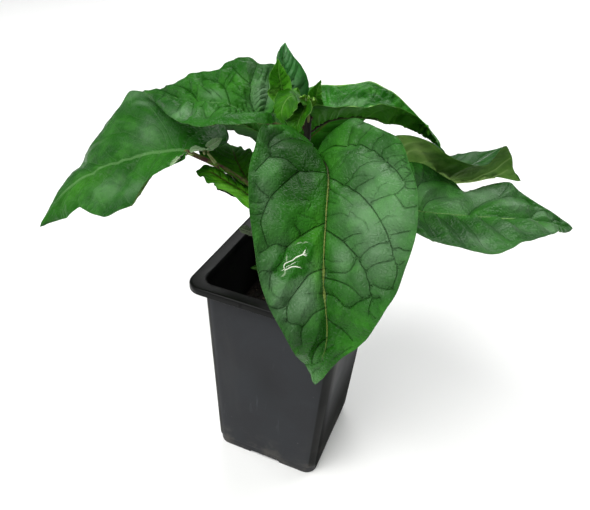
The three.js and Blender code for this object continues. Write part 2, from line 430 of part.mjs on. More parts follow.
    wr: [15.19, 18.65, 21.04, 19.34, 18.25, 15.64, 14.76, 13.1, 9.53, 4.12, 0.0],
    fl: [0.002, 0.082, 0.286, 0.201], fr: [0.075, 0.106, 0.052, 0.084], cl: [-0.418, -0.37, -0.255, -0.297], cr: [-0.382, -0.373, -0.379, -0.342],
  },
  leaf_low_left_small: {
    color: 0x24401a, tiny: true, stalkR: 0.7,
    stalk: [[0, 0, 150.5], [-13, 0.5, 156.5], [-25, 2, 161]],
    mid: [[-35.07, 1.82, 163.32], [-37.76, 0.09, 164.36], [-40.07, -1.46, 165.53], [-42.58, -2.38, 166.29], [-45.33, -3.05, 166.75], [-48.99, -3.9, 167.61]],
    up: [0.0, -0.196, 0.981], roll: [0.038, 0.121, 0.024, -0.069],
    wl: [4.36, 5.95, 7.44, 8.33, 8.07, 6.87, 5.25, 3.51, 2.0, 0.89, 0.0],
    wr: [4.39, 5.91, 7.25, 7.97, 7.85, 6.81, 5.27, 3.56, 2.05, 0.91, 0.0],
    fl: [0.158, 0.244, 0.243, 0.183], fr: [0.121, 0.141, 0.3, 0.359], cl: [-0.28, -0.234, -0.235, -0.266], cr: [-0.306, -0.295, -0.209, -0.177],
  },
  side_shoot_leaf_a: {
    color: 0x8fae86, tiny: true, stalkR: 0.4,
    stalk: [[-49.8, -7.6, 187.2], [-50, -7.3, 188.6]],
    mid: [[-50.13, -7.11, 189.55], [-48.85, -6.44, 190.42], [-47.71, -5.73, 191.33], [-46.66, -4.85, 192.27], [-45.5, -3.9, 193.2], [-44.1, -2.81, 194.14]],
    up: [0.101, -0.704, 0.704], roll: [-0.14, -0.114, -0.035, 0.009],
    wl: [1.84, 2.49, 3.08, 3.41, 3.32, 2.84, 2.25, 1.56, 0.92, 0.41, 0.0],
    wr: [1.8, 2.44, 3.09, 3.51, 3.5, 3.02, 2.32, 1.57, 0.91, 0.4, 0.0],
    fl: [0.09, 0.094, 0.199, 0.275], fr: [0.321, 0.258, 0.231, 0.225], cl: [-0.228, -0.227, -0.162, -0.119], cr: [-0.095, -0.124, -0.136, -0.138],
  },
  side_shoot_leaf_b: {
    color: 0x9db48c, tiny: true, stalkR: 0.4,
    stalk: [[-50.4, -10.2, 187.2], [-49.4, -12.8, 189.4]],
    mid: [[-50.52, -8.84, 189.0], [-50.81, -11.29, 190.0], [-51.46, -13.3, 190.8], [-52.39, -14.91, 191.0], [-53.28, -16.28, 190.8], [-54.19, -17.49, 190.0]],
    up: [-0.1, -0.597, 0.796], roll: [0.0, 0.0, 0.0, 0.0],
    wl: [1.65, 2.05, 2.38, 2.54, 2.54, 2.44, 2.18, 1.78, 1.25, 0.66, 0.0],
    wr: [1.65, 2.05, 2.38, 2.54, 2.54, 2.44, 2.18, 1.78, 1.25, 0.66, 0.0],
    fl: [0.3, 0.3, 0.3, 0.3], fr: [0.3, 0.3, 0.3, 0.3], cl: [-0.1, -0.1, -0.1, -0.1], cr: [-0.1, -0.1, -0.1, -0.1],
  },
  side_shoot_strip: {
    color: 0xb2bda2, tiny: true, stalkR: 0.4,
    stalk: [[-55, -13.5, 186.5]],
    mid: [[-58.03, -15.23, 188.0], [-57.06, -19.57, 188.97], [-56.18, -23.74, 189.7], [-55.39, -27.66, 190.04], [-55.54, -30.49, 189.54], [-56.29, -32.64, 188.5]],
    up: [-0.185, -0.647, 0.74], roll: [0.0, 0.0, 0.0, 0.0],
    wl: [1.1, 1.24, 1.4, 1.56, 1.7, 1.8, 1.7, 1.5, 1.1, 0.6, 0.0],
    wr: [1.1, 1.24, 1.4, 1.56, 1.7, 1.8, 1.7, 1.5, 1.1, 0.6, 0.0],
    fl: [0.3, 0.3, 0.3, 0.3], fr: [0.3, 0.3, 0.3, 0.3], cl: [0.0, 0.0, 0.0, 0.0], cr: [0.0, 0.0, 0.0, 0.0],
  },
  low_leaf_grey: {
    color: 0x8c9a8c, tiny: true, stalkR: 0.7,
    stalk: [[0, 0, 126], [-12, 1.5, 130], [-24, 3, 133]],
    mid: [[-31.57, 11.09, 134.0], [-32.63, 9.32, 135.27], [-33.95, 7.93, 136.29], [-35.67, 7.12, 136.91], [-37.75, 7.32, 136.91], [-40.05, 8.16, 136.5]],
    up: [-0.097, -0.483, 0.87], roll: [0.0, 0.0, 0.0, 0.0],
    wl: [2.0, 2.75, 3.45, 3.85, 3.75, 3.2, 2.45, 1.65, 0.95, 0.42, 0.0],
    wr: [2.0, 2.75, 3.45, 3.85, 3.75, 3.2, 2.45, 1.65, 0.95, 0.42, 0.0],
    fl: [0.2, 0.2, 0.2, 0.2], fr: [0.2, 0.2, 0.2, 0.2], cl: [-0.2, -0.2, -0.2, -0.2], cr: [-0.2, -0.2, -0.2, -0.2],
  },
  low_leaf_green: {
    color: 0x4f7a3c, tiny: true, stalkR: 0.6,
    stalk: [[0, 0, 108], [-9, -2, 112]],
    mid: [[-21.71, 4.92, 115.0], [-23.06, 3.6, 115.95], [-24.36, 2.38, 116.72], [-25.58, 1.32, 117.2], [-26.81, 0.46, 117.36], [-28.05, -0.27, 117.3]],
    up: [-0.1, -0.597, 0.796], roll: [0.0, 0.0, 0.0, 0.0],
    wl: [1.2, 1.65, 2.07, 2.31, 2.25, 1.92, 1.47, 0.99, 0.57, 0.25, 0.0],
    wr: [1.2, 1.65, 2.07, 2.31, 2.25, 1.92, 1.47, 0.99, 0.57, 0.25, 0.0],
    fl: [0.3, 0.3, 0.3, 0.3], fr: [0.3, 0.3, 0.3, 0.3], cl: [-0.2, -0.2, -0.2, -0.2], cr: [-0.2, -0.2, -0.2, -0.2],
  },
};

// ---- put it together ----
const plant = new THREE.Group();
function place(name, solid, material) {
  const mesh = new THREE.Mesh(geometryOf(solid), material);
  mesh.name = name;
  plant.add(mesh);
}
const stemClear = makeStem(GAP);
place("pot", makePot(), mat(0x2b2c2e, 0.45));
place("soil", makeSoil(stemClear), mat(0x1d1510, 0.95));
place("main_stem", makeStem(), mat(0x35402a, 0.5));

// the side shoot's stalk stands in the angle of the far left leaf's stalk
const shootPath = [[-47.6, -7.2, 183.6], [-48.6, -7.6, 185.2], [-49.6, -8.4, 186.6]];
const shoot = (grow) => tube(shootPath, 0.8 + grow, 4, 6);

const cleared = [stemClear];
const apart = (a, b) => {
  const p = a.boundingBox(), q = b.boundingBox();
  return [0, 1, 2].some((i) => p.max[i] < q.min[i] - 0.5 || q.max[i] < p.min[i] - 0.5);
};
function settle(name, make, material) {
  let solid = make(0);
  for (const c of cleared) if (!apart(solid, c)) solid = solid.subtract(c);
  solid = largest(solid);
  cleared.push(make(GAP));
  place(name, solid, material);
}
for (const [name, leaf] of Object.entries(LEAVES)) {
  if (name === "side_shoot_leaf_a") settle("side_shoot_stalk", shoot, mat(0x7f9a5a, 0.6));
  settle(name, (grow) => makeLeaf(leaf, grow), mat(leaf.color, 0.45));
}

export default plant;
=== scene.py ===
"""A chilli pepper plant in a deep square nursery pot: the looks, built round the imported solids.
Metres, +Z up, the origin in the middle of the pot's underside. Lengths in the tables below are millimetres."""
import math

import bpy
import numpy as np
from mathutils import Matrix, Vector


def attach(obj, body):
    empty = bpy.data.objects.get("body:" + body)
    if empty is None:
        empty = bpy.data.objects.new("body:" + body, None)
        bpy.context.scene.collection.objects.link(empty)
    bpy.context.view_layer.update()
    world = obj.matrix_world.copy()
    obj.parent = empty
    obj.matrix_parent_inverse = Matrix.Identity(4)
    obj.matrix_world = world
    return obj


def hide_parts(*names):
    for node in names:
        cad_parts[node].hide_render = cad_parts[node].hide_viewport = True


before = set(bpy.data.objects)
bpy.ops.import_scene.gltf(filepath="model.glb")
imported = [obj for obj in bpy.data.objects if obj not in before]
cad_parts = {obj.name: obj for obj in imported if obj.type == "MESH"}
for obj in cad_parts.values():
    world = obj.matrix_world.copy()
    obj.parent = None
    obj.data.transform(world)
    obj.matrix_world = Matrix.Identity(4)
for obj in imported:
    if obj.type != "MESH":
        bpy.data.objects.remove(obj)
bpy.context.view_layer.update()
MM = 0.001
FINE = 1.0  # share of the full mesh density


# ---------------------------------------------------------------- small tools
def step(a, b, x):
    t = np.clip((np.asarray(x, float) - a) / (b - a), 0, 1)
    return t * t * (3 - 2 * t)


def unit(v):
    return v / np.maximum(np.linalg.norm(v, axis=-1, keepdims=True), 1e-9)


def spline(xs, ys, x):
    """Smooth curve through ys at the stations xs."""
    xs = np.asarray(xs, float)
    ys = np.asarray(ys, float)
    x = np.asarray(x, float)
    n = len(xs)
    m = np.zeros_like(ys)
    for i in range(n):
        if i == 0:
            m[i] = (ys[1] - ys[0]) / (xs[1] - xs[0])
        elif i == n - 1:
            m[i] = (ys[-1] - ys[-2]) / (xs[-1] - xs[-2])
        else:
            h0 = xs[i] - xs[i - 1]
            h1 = xs[i + 1] - xs[i]
            m[i] = (h1 * (ys[i] - ys[i - 1]) / h0 + h0 * (ys[i + 1] - ys[i]) / h1) / (h0 + h1)
    k = np.clip(np.searchsorted(xs, x, side="right") - 1, 0, n - 2)
    h = xs[k + 1] - xs[k]
    t = (x - xs[k]) / h
    if ys.ndim == 2:
        h = h[..., None]
        t = t[..., None]
    return (2 * t**3 - 3 * t**2 + 1) * ys[k] + (t**3 - 2 * t**2 + t) * h * m[k] + (-2 * t**3 + 3 * t**2) * ys[k + 1] + (t**3 - t**2) * h * m[k + 1]


def grain(p, cell, seed):
    """Smooth noise from -1 to 1 at the points p, with lumps about the size of cell."""
    q = np.asarray(p, float) / cell + 100.0 + seed * 7.31
    i = np.floor(q).astype(np.int64)
    f = q - i
    f = f * f * (3 - 2 * f)
    out = np.zeros(len(q))
    for a in (0, 1):
        for b in (0, 1):
            for c in (0, 1):
                h = (i[:, 0] + a) * 73856093 ^ (i[:, 1] + b) * 19349663 ^ (i[:, 2] + c) * 83492791 ^ (seed * 9176 + 77)
                h = (h ^ (h >> 13)) & 0x7FFFFFFF
                h = (h * 1274126177) & 0x7FFFFFFF
                h = (h ^ (h >> 15)) & 0xFFFF
                w = (f[:, 0] if a else 1 - f[:, 0]) * (f[:, 1] if b else 1 - f[:, 1]) * (f[:, 2] if c else 1 - f[:, 2])
                out += w * (h / 32767.5 - 1)
    return out


def layered(p, cell, seed, layers=3):
    return sum(grain(p, cell / 2**k, seed + 11 * k) * 0.5**k for k in range(layers))


def near(p, q, count=1):
    """Distances from each point of p to its nearest points of q, and the index of the nearest."""
    p = np.asarray(p, float)
    q = np.asarray(q, float)
    q2 = (q * q).sum(1)
    dist = np.zeros((len(p), count))
    index = np.zeros(len(p), int)
    size = max(256, int(3e6 / len(q)))
    for a in range(0, len(p), size):
        s = p[a : a + size]
        d = (s * s).sum(1)[:, None] + q2[None] - 2 * s @ q.T
        index[a : a + size] = d.argmin(1)
        if count == 1:
            dist[a : a + size, 0] = d.min(1)
        else:
            dist[a : a + size] = np.sort(np.partition(d, count, axis=1)[:, :count], axis=1)
    return np.sqrt(np.maximum(dist, 0)), index


def linear(text):
    """A colour like 3a7a37 as the shader's linear RGBA."""
    c = np.array([int(text[i : i + 2], 16) for i in (0, 2, 4)]) / 255
    c = np.where(c <= 0.04045, c / 12.92, ((c + 0.055) / 1.055) ** 2.4)
    return (float(c[0]), float(c[1]), float(c[2]), 1.0)


def add_mesh(name, verts, faces, marks=None, smooth=True):
    """verts in mm. marks is {attribute: value at each vertex}."""
    verts = np.asarray(verts, float)
    mesh = bpy.data.meshes.new(name)
    faces = [tuple(int(i) for i in f) for f in faces]
    mesh.from_pydata([tuple(v) for v in verts * MM], [], faces)
    for key, values in (marks or {}).items():
        layer = mesh.attributes.new(key, "FLOAT", "POINT")
        layer.data.foreach_set("value", np.asarray(values, np.float32))
    if smooth:
        mesh.polygons.foreach_set("use_smooth", [True] * len(mesh.polygons))
    mesh.update()
    obj = bpy.data.objects.new(name, mesh)
    bpy.context.scene.collection.objects.link(obj)
    return obj


def settle(obj, slot, material, *nodes):
    obj.data.materials.clear()
    obj.data.materials.append(material)
    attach(obj, "root")
    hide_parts(*nodes)


# ---------------------------------------------------------------- node trees
class Tree:
    """A few short words for building a material."""

    def __init__(self, name):
        self.mat = bpy.data.materials.new(name)
        self.mat.use_nodes = True
        self.t = self.mat.node_tree
        self.t.nodes.clear()
        self.out = self.t.nodes.new("ShaderNodeOutputMaterial")
        self.bsdf = self.t.nodes.new("ShaderNodeBsdfPrincipled")
        self.link(self.bsdf.outputs[0], self.out.inputs[0])
        self.place = self.t.nodes.new("ShaderNodeTexCoord").outputs["Object"]

    def link(self, a, b):
        self.t.links.new(a, b)

    def put(self, socket, value):
        if hasattr(value, "is_output"):
            self.link(value, socket)
        else:
            socket.default_value = value

    def mark(self, name):
        n = self.t.nodes.new("ShaderNodeAttribute")
        n.attribute_type = "GEOMETRY"
        n.attribute_name = name
        return n.outputs["Fac"]

    def stretch(self, x, y, z):
        n = self.t.nodes.new("ShaderNodeMapping")
        self.link(self.place, n.inputs["Vector"])
        n.inputs["Scale"].default_value = (x, y, z)
        return n.outputs[0]

    def noise(self, mm, detail=3.0, rough=0.5, warp=0.0, where=None):
        n = self.t.nodes.new("ShaderNodeTexNoise")
        self.link(where or self.place, n.inputs["Vector"])
        n.inputs["Scale"].default_value = 1000.0 / mm
        n.inputs["Detail"].default_value = detail
        n.inputs["Roughness"].default_value = rough
        n.inputs["Distortion"].default_value = warp
        return n.outputs["Fac"]

    def cells(self, mm, feature="DISTANCE_TO_EDGE", where=None):
        n = self.t.nodes.new("ShaderNodeTexVoronoi")
        n.feature = feature
        self.link(where or self.place, n.inputs["Vector"])
        n.inputs["Scale"].default_value = 1000.0 / mm
        return n.outputs["Distance"]

    def math(self, op, a, b=0.0, c=None):
        n = self.t.nodes.new("ShaderNodeMath")
        n.operation = op
        self.put(n.inputs[0], a)
        self.put(n.inputs[1], b)
        if c is not None:
            self.put(n.inputs[2], c)
        return n.outputs[0]

    def span(self, value, a, b, c=0.0, d=1.0):
        n = self.t.nodes.new("ShaderNodeMapRange")
        n.interpolation_type = "SMOOTHSTEP"
        self.put(n.inputs["Value"], value)
        for key, x in (("From Min", a), ("From Max", b), ("To Min", c), ("To Max", d)):
            n.inputs[key].default_value = x
        return n.outputs["Result"]

    def mix(self, how, a, b):
        n = self.t.nodes.new("ShaderNodeMix")
        n.data_type = "RGBA"
        n.clamp_factor = True
        self.put(n.inputs[0], how)
        self.put(n.inputs[6], a)
        self.put(n.inputs[7], b)
        return n.outputs[2]

    def bump(self, height, strength, mm, normal=None):
        n = self.t.nodes.new("ShaderNodeBump")
        n.inputs["Strength"].default_value = strength
        n.inputs["Distance"].default_value = mm * MM
        self.link(height, n.inputs["Height"])
        if normal is not None:
            self.link(normal, n.inputs["Normal"])
        return n.outputs["Normal"]

    def set(self, **values):
        for key, value in values.items():
            self.put(self.bsdf.inputs[key.replace("_", " ")], value)


# ---------------------------------------------------------------- the leaves of this plant
LEAVES = {
    "A": {
        "name": "leaf_front",
        "size": "huge",
        "slot": "leaf_glossy_dark",
        "mat": "glossy",
        "r": 1.3,
        "stalk": [[0.0, 0.0, 194.5], [4.2, -5.0, 197.8]],
        "mid": [[11.04, -13.87, 201.81], [22.95, -34.84, 204.81], [30.95, -57.39, 197.55], [37.53, -74.0, 180.37], [43.8, -81.22, 158.1], [41.41, -82.33, 132.85]],
        "up": [0.0, -0.2873, 0.9578],
        "roll": [-0.106, -0.029, 0.098, 0.045],
        "wl": [4.64, 21.86, 25.19, 34.46, 40.76, 36.08, 26.5, 14.27, 7.64, 3.59, 0.0],
        "wr": [6.59, 19.15, 30.36, 35.76, 34.17, 28.47, 22.8, 17.02, 10.38, 4.89, 0.0],
        "fl": [0.753, 0.483, 0.326, 0.235],
        "fr": [0.77, 0.428, 0.323, 0.279],
        "cl": [0.224, -0.037, -0.053, 0.066],
        "cr": [0.237, -0.063, -0.051, 0.096],
        "auto": False,
        "cell": 5.0,
        "longer": 1.2,
        "quilt": 2.3,
        "net": 0.9,
        "puff": 1.1,
        "ripple": [0.2, 13.0],
        "wave": 0.25,
        "rib_wide": 0.55,
        "rib_up": 0.8,
        "vein_wide": 0.3,
        "groove_wide": 1.4,
        "groove": 1.7,
        "tone_and_shade": [[0.17, -0.12, 0.08, 0.14, 0.35], [0.1, -0.55, 0.06, 0.35, 0.4], [0.5, 0.13, 0.16, 0.1, 0.6], [0.5, 0.4, 0.06, 0.13, 0.6], [0.16, 0.55, 0.075, 0.42, -1.7], [0.3, 0.42, 0.07, 0.2, -1.3], [0.7, 0.8, 0.06, 0.2, -0.5]],
        "painted_sheen": [[0.37, -0.62, 0.15, 0.34, 0.32], [0.5, -0.28, 0.06, 0.13, 0.24], [0.3, 0.78, 0.1, 0.14, 0.14], [0.95, 0.0, 0.05, 0.8, 0.22], [0.12, -0.95, 0.05, 0.1, 0.15], [0.6, 0.45, 0.08, 0.35, 0.26], [0.56, 0.78, 0.12, 0.25, 0.26], [0.4, -0.45, 0.16, 0.3, 0.14]],
        "veins": [[[0.205, 0.0], [0.232, 0.208], [0.251, 0.385], [0.232, 0.531], [0.224, 0.738], [0.251, 0.838], [0.274, 0.915]], [[0.251, 0.385], [0.282, 0.492], [0.301, 0.569], [0.332, 0.708], [0.362, 0.808], [0.385, 0.862], [0.408, 0.846], [0.435, 0.808]], [[0.42, 0.0], [0.431, 0.177], [0.443, 0.323], [0.462, 0.538], [0.493, 0.654], [0.512, 0.823], [0.539, 0.892]], [[0.566, 0.0], [0.562, 0.215], [0.581, 0.438], [0.6, 0.646], [0.623, 0.785], [0.638, 0.808]], [[0.688, 0.0], [0.677, 0.315], [0.688, 0.523], [0.704, 0.685], [0.73, 0.738]], [[0.792, 0.0], [0.803, 0.292], [0.849, 0.485], [0.888, 0.577]], [[0.033, 0.0], [0.063, -0.262], [0.109, -0.423], [0.148, -0.562], [0.198, -0.646], [0.232, -0.715], [0.27, -0.831], [0.286, -0.862]], [[0.232, 0.0], [0.286, -0.223], [0.324, -0.377], [0.351, -0.485], [0.385, -0.615], [0.416, -0.723], [0.447, -0.838], [0.474, -0.923], [0.508, -0.915]], [[0.443, 0.0], [0.458, -0.185], [0.474, -0.338], [0.497, -0.5], [0.523, -0.631], [0.562, -0.738], [0.615, -0.808]], [[0.592, 0.0], [0.577, -0.238], [0.569, -0.492], [0.581, -0.654]], [[0.723, 0.0], [0.727, -0.315], [0.727, -0.585], [0.734, -0.769]], [[0.006, 0.138], [0.044, 0.469], [0.09, 0.592], [0.152, 0.662], [0.198, 0.785]]],
        "cross": [[[0.339, -0.477], [0.332, -0.585], [0.324, -0.7], [0.32, -0.754], [0.313, -0.8], [0.301, -0.854], [0.29, -0.877]], [[0.324, -0.762], [0.336, -0.815], [0.347, -0.862], [0.343, -0.915], [0.339, -0.962]], [[0.408, -0.715], [0.401, -0.792], [0.393, -0.869], [0.389, -0.915]], [[0.431, -0.785], [0.424, -0.854], [0.424, -0.915], [0.42, -0.969]], [[0.485, -0.454], [0.474, -0.485], [0.458, -0.538], [0.443, -0.608], [0.431, -0.662], [0.424, -0.731]], [[0.504, -0.569], [0.489, -0.623], [0.474, -0.692], [0.462, -0.762], [0.451, -0.823]], [[0.221, 0.738], [0.205, 0.777], [0.19, 0.8], [0.163, 0.792], [0.129, 0.792], [0.098, 0.831]], [[0.332, 0.708], [0.324, 0.769], [0.316, 0.831], [0.305, 0.877]], [[0.462, 0.538], [0.454, 0.608], [0.443, 0.692], [0.443, 0.769], [0.447, 0.846], [0.447, 0.908]], [[0.508, 0.746], [0.497, 0.862], [0.489, 0.946], [0.493, 0.992]], [[0.6, 0.669], [0.604, 0.785], [0.596, 0.885], [0.577, 0.977]], [[0.274, -0.169], [0.267, -0.246], [0.255, -0.323], [0.247, -0.377], [0.24, -0.446], [0.232, -0.531], [0.232, -0.623], [0.236, -0.723]], [[0.297, -0.3], [0.293, -0.338], [0.29, -0.385], [0.286, -0.469], [0.282, -0.546]], [[0.152, -0.569], [0.144, -0.662], [0.144, -0.769], [0.14, -0.915]], [[0.129, -0.462], [0.117, -0.592], [0.106, -0.715], [0.094, -0.823], [0.098, -0.9], [0.109, -0.962]], [[0.194, -0.615], [0.182, -0.715], [0.178, -0.8], [0.175, -0.915]], [[0.217, -0.685], [0.209, -0.754], [0.209, -0.838], [0.209, -0.908], [0.213, -0.985]], [[0.232, -0.738], [0.228, -0.792], [0.232, -0.869], [0.236, -0.962]], [[0.251, -0.769], [0.247, -0.831], [0.244, -0.908], [0.251, -0.962]], [[0.263, -0.8], [0.259, -0.862], [0.259, -0.923], [0.267, -0.969]], [[0.282, -0.869], [0.278, -0.908], [0.274, -0.962]], [[0.301, -0.854], [0.305, -0.9], [0.305, -0.962]], [[0.29, -0.877], [0.29, -0.938], [0.29, -0.992]], [[0.458, -0.215], [0.447, -0.269], [0.435, -0.346], [0.428, -0.423]], [[0.543, -0.323], [0.527, -0.385], [0.508, -0.408], [0.493, -0.415], [0.485, -0.431]], [[0.642, -0.062], [0.635, -0.185], [0.638, -0.292], [0.642, -0.415], [0.635, -0.5]], [[0.527, -0.692], [0.523, -0.785], [0.516, -0.869], [0.508, -0.915]], [[0.454, -0.885], [0.451, -0.915], [0.443, -0.946]], [[0.569, -0.069], [0.558, -0.177], [0.543, -0.323]], [[0.635, 0.838], [0.654, 0.754], [0.669, 0.646], [0.688, 0.577]], [[0.443, 0.323], [0.424, 0.377], [0.412, 0.423]], [[0.562, -0.731], [0.558, -0.792], [0.546, -0.838]], [[0.638, -0.5], [0.604, -0.592], [0.585, -0.654], [0.562, -0.731]]],
        "soft": [[[0.397, -0.023], [0.393, -0.1], [0.389, -0.185], [0.393, -0.262]], [[0.385, -0.338], [0.393, -0.385], [0.397, -0.454], [0.408, -0.5]], [[0.389, 0.369], [0.397, 0.277], [0.408, 0.162], [0.424, 0.092]], [[0.642, 0.023], [0.627, 0.162], [0.615, 0.277]], [[0.32, -0.569], [0.313, -0.6], [0.305, -0.654]], [[0.205, -0.485], [0.221, -0.546], [0.224, -0.631], [0.228, -0.715]], [[0.228, -0.023], [0.221, -0.131], [0.209, -0.254], [0.194, -0.338], [0.178, -0.423], [0.182, -0.508]], [[0.194, -0.023], [0.194, -0.146], [0.19, -0.269], [0.19, -0.377]], [[0.125, -0.031], [0.14, -0.162], [0.152, -0.292], [0.171, -0.408]], [[0.079, -0.062], [0.102, -0.208], [0.129, -0.331]], [[0.792, 0.292], [0.799, 0.131]], [[0.474, -0.354], [0.458, -0.408], [0.451, -0.454]], [[0.531, 0.223], [0.55, 0.131]], [[0.531, -0.054], [0.531, -0.131], [0.52, -0.231]], [[0.385, -0.623], [0.374, -0.677], [0.37, -0.746]], [[0.343, 0.838], [0.343, 0.9], [0.339, 0.962]], [[0.366, 0.823], [0.366, 0.908], [0.362, 0.985]], [[0.309, 0.369], [0.29, 0.392], [0.267, 0.408]], [[0.351, 0.338], [0.351, 0.285], [0.362, 0.231], [0.374, 0.262]], [[0.531, 0.846], [0.546, 0.862], [0.562, 0.854], [0.577, 0.785], [0.585, 0.7]], [[0.29, -0.023], [0.316, -0.1], [0.336, -0.2], [0.355, -0.292]], [[0.343, -0.023], [0.355, -0.108]], [[0.895, 0.946], [0.895, 0.538], [0.891, 0.138], [0.872, -0.223]], [[0.934, 0.415], [0.918, -0.138]], [[0.796, -0.323], [0.838, -0.038]], [[0.263, -0.277], [0.27, -0.362], [0.274, -0.454]], [[0.267, -0.692], [0.259, -0.738], [0.263, -0.777]], [[0.753, -0.892], [0.78, -0.846], [0.811, -0.738]]],
        "scar": [[[0.512, 0.631], [0.504, 0.631], [0.5, 0.615], [0.5, 0.569], [0.5, 0.5], [0.497, 0.446], [0.497, 0.385], [0.497, 0.362], [0.493, 0.338], [0.489, 0.323]], [[0.516, 0.623], [0.516, 0.577], [0.516, 0.531], [0.52, 0.477], [0.527, 0.423]], [[0.497, 0.362], [0.5, 0.338]]],
        "pale": [[[0.462, 0.4], [0.462, 0.369]], [[0.466, 0.315], [0.466, 0.292]], [[0.493, 0.585], [0.485, 0.577]], [[0.512, 0.631], [0.523, 0.631], [0.527, 0.669]]],
        "er": [[0.14, -0.1], [-1.07, 1.13], [-1.83, 1.9], [0.03, -0.14], [1.54, -1.46], [0.97, -0.65], [-0.12, 0.52], [0.18, 0.69], [0.15, 0.43], [0.09, -0.06], [0.01, 0.02], [-0.01, 0.36], [-0.05, 0.31], [-0.06, 0.12], [0.08, -0.08], [0.09, -0.25], [-0.02, 0.0], [-0.03, 0.25], [-0.17, 0.53], [-0.29, 0.78], [-0.22, 0.82], [-0.27, 0.83], [-0.19, 0.66], [-0.12, 0.44], [-0.07, 0.08], [0.06, -0.06], [0.04, -0.01], [-0.01, 0.04], [-0.08, 0.03], [-0.03, -0.01], [-0.04, -0.08], [0.03, -0.26], [-0.04, -0.16], [0.05, 0.32], [0.45, 0.85], [0.58, 0.9], [0.15, 0.48], [-0.02, 0.07], [-0.09, -0.31], [0.06, 0.36], [0.06, 0.0]],
        "zr": [[0.0, 0.0], [-0.4, 1.06], [0.14, 0.51], [0.01, -0.08], [0.07, -0.05], [0.12, -0.03], [0.04, -0.09], [0.08, -0.07], [0.12, -0.05], [0.05, -0.1], [0.11, -0.09]],
        "el": [[-0.26, 0.39], [-0.06, 0.1], [0.41, -0.43], [0.08, -0.16], [-0.12, 0.24], [-0.06, 0.17], [0.27, -0.52], [0.38, -0.52], [-0.14, 0.64], [-0.13, 0.24], [0.05, -0.6], [0.14, -0.6], [0.01, 0.01], [0.0, 0.13], [-0.02, 0.12], [-0.0, 0.12], [0.03, -0.06], [-0.04, 0.1], [0.01, 0.13], [-0.03, 0.22], [0.0, 0.17], [0.03, -0.24], [0.16, -0.78], [0.3, -1.06], [0.38, -1.19], [0.35, -1.27], [0.14, -0.99], [0.04, -0.41], [0.03, 0.14], [-0.04, 0.16], [-0.1, -0.16], [-0.06, -1.09], [0.22, -1.8], [0.69, -1.69], [0.81, -1.13], [0.42, -0.49], [0.16, -0.12], [0.12, -0.04], [-0.09, -0.01], [-0.2, 0.09], [-0.61, 0.0]],
        "zl": [[0.0, 0.0], [-3.04, 0.87], [-2.5, 1.36], [-1.77, 1.59], [-1.35, 1.38], [-1.04, 1.07], [-0.68, 0.8], [-0.55, 0.56], [-0.34, 0.41], [-0.2, 0.31], [-0.22, 0.21]],
    },
    "G": {
        "name": "leaf_upper_right",
        "size": "big",
        "slot": "leaf_quilted_mid",
        "mat": "upper_right",
        "r": 0.95,
        "stalk": [[0.0, 0.0, 198.0], [-1.4, 5.2, 200.4]],
        "mid": [[-2.85, 9.69, 202.17], [2.63, 14.79, 206.5], [10.09, 19.3, 208.76], [21.66, 25.88, 208.76], [39.0, 36.0, 204.64], [57.72, 45.98, 193.32]],
        "up": [0.0, -0.1961, 0.9806],
        "roll": [0.304, 0.282, 0.194, 0.117],
        "wl": [12.48, 17.96, 23.13, 25.78, 25.71, 25.87, 19.6, 12.67, 7.92, 4.29, 0.0],
        "wr": [7.5, 15.72, 28.77, 28.87, 28.08, 24.48, 18.99, 13.83, 8.29, 3.79, 0.0],
        "fl": [0.173, 0.119, 0.506, 0.518],
        "fr": [1.488, 1.055, 1.123, 0.961],
        "cl": [-0.335, -0.435, -0.194, -0.084],
        "cr": [0.012, -0.239, -0.191, -0.08],
        "auto": False,
        "auto_sides": [-1],
        "cell": 3.2,
        "longer": 2.6,
        "quilt": 2.0,
        "net": 1.7,
        "puff": 1.6,
        "ripple": [0.25, 12.0],
        "wave": 1.0,
        "rib_wide": 0.4,
        "vein_wide": 0.28,
        "groove": 1.8,
        "stalk_far": 0.9,
        "tone_and_shade": [[0.82, 0.7, 0.12, 0.4, 0.5]],
        "painted_sheen": [[0.45, -0.32, 0.14, 0.1, 0.3]],
        "veins": [[[0.274, 0.1], [0.255, 0.585], [0.259, 0.877]], [[0.431, 0.0], [0.393, 0.462], [0.37, 0.869]], [[0.585, 0.0], [0.592, 0.354], [0.589, 0.754]], [[0.7, 0.0], [0.704, 0.477], [0.7, 0.931]], [[0.792, 0.108], [0.784, 0.715], [0.842, -0.992]], [[0.355, 0.0], [0.255, 0.954], [0.397, -0.415], [0.435, -0.5], [0.458, -0.669], [0.481, -0.815], [0.497, -0.885], [0.562, -0.808], [0.604, -0.654]], [[0.14, 0.0], [0.159, 0.662], [0.24, -0.5], [0.236, -0.831]], [[0.435, -0.5], [0.489, -0.338], [0.366, 1.0]], [[0.734, 0.154], [0.681, 0.785], [0.727, -0.854], [0.727, -1.0]]],
        "cross": [[[0.313, -0.369], [0.297, -0.454], [0.282, -0.577]], [[0.343, -0.338], [0.32, -0.446], [0.297, -0.6]], [[0.374, -0.338], [0.347, -0.469], [0.313, -0.592]], [[0.401, -0.362], [0.37, -0.485], [0.332, -0.623]], [[0.267, -0.415], [0.259, -0.592], [0.247, -0.892]], [[0.282, -0.608], [0.274, -0.746], [0.263, -0.923]], [[0.355, -0.685], [0.332, -0.8], [0.301, -0.962]], [[0.527, -0.508], [0.539, -0.623], [0.531, -0.708]], [[0.569, -0.577], [0.566, -0.708], [0.554, -0.831]], [[0.619, -0.692], [0.619, -0.877], [0.6, -1.0]], [[0.673, -0.677], [0.669, -0.877], [0.646, -0.985]], [[0.65, 1.0], [0.719, -0.892], [0.692, -0.985]]],
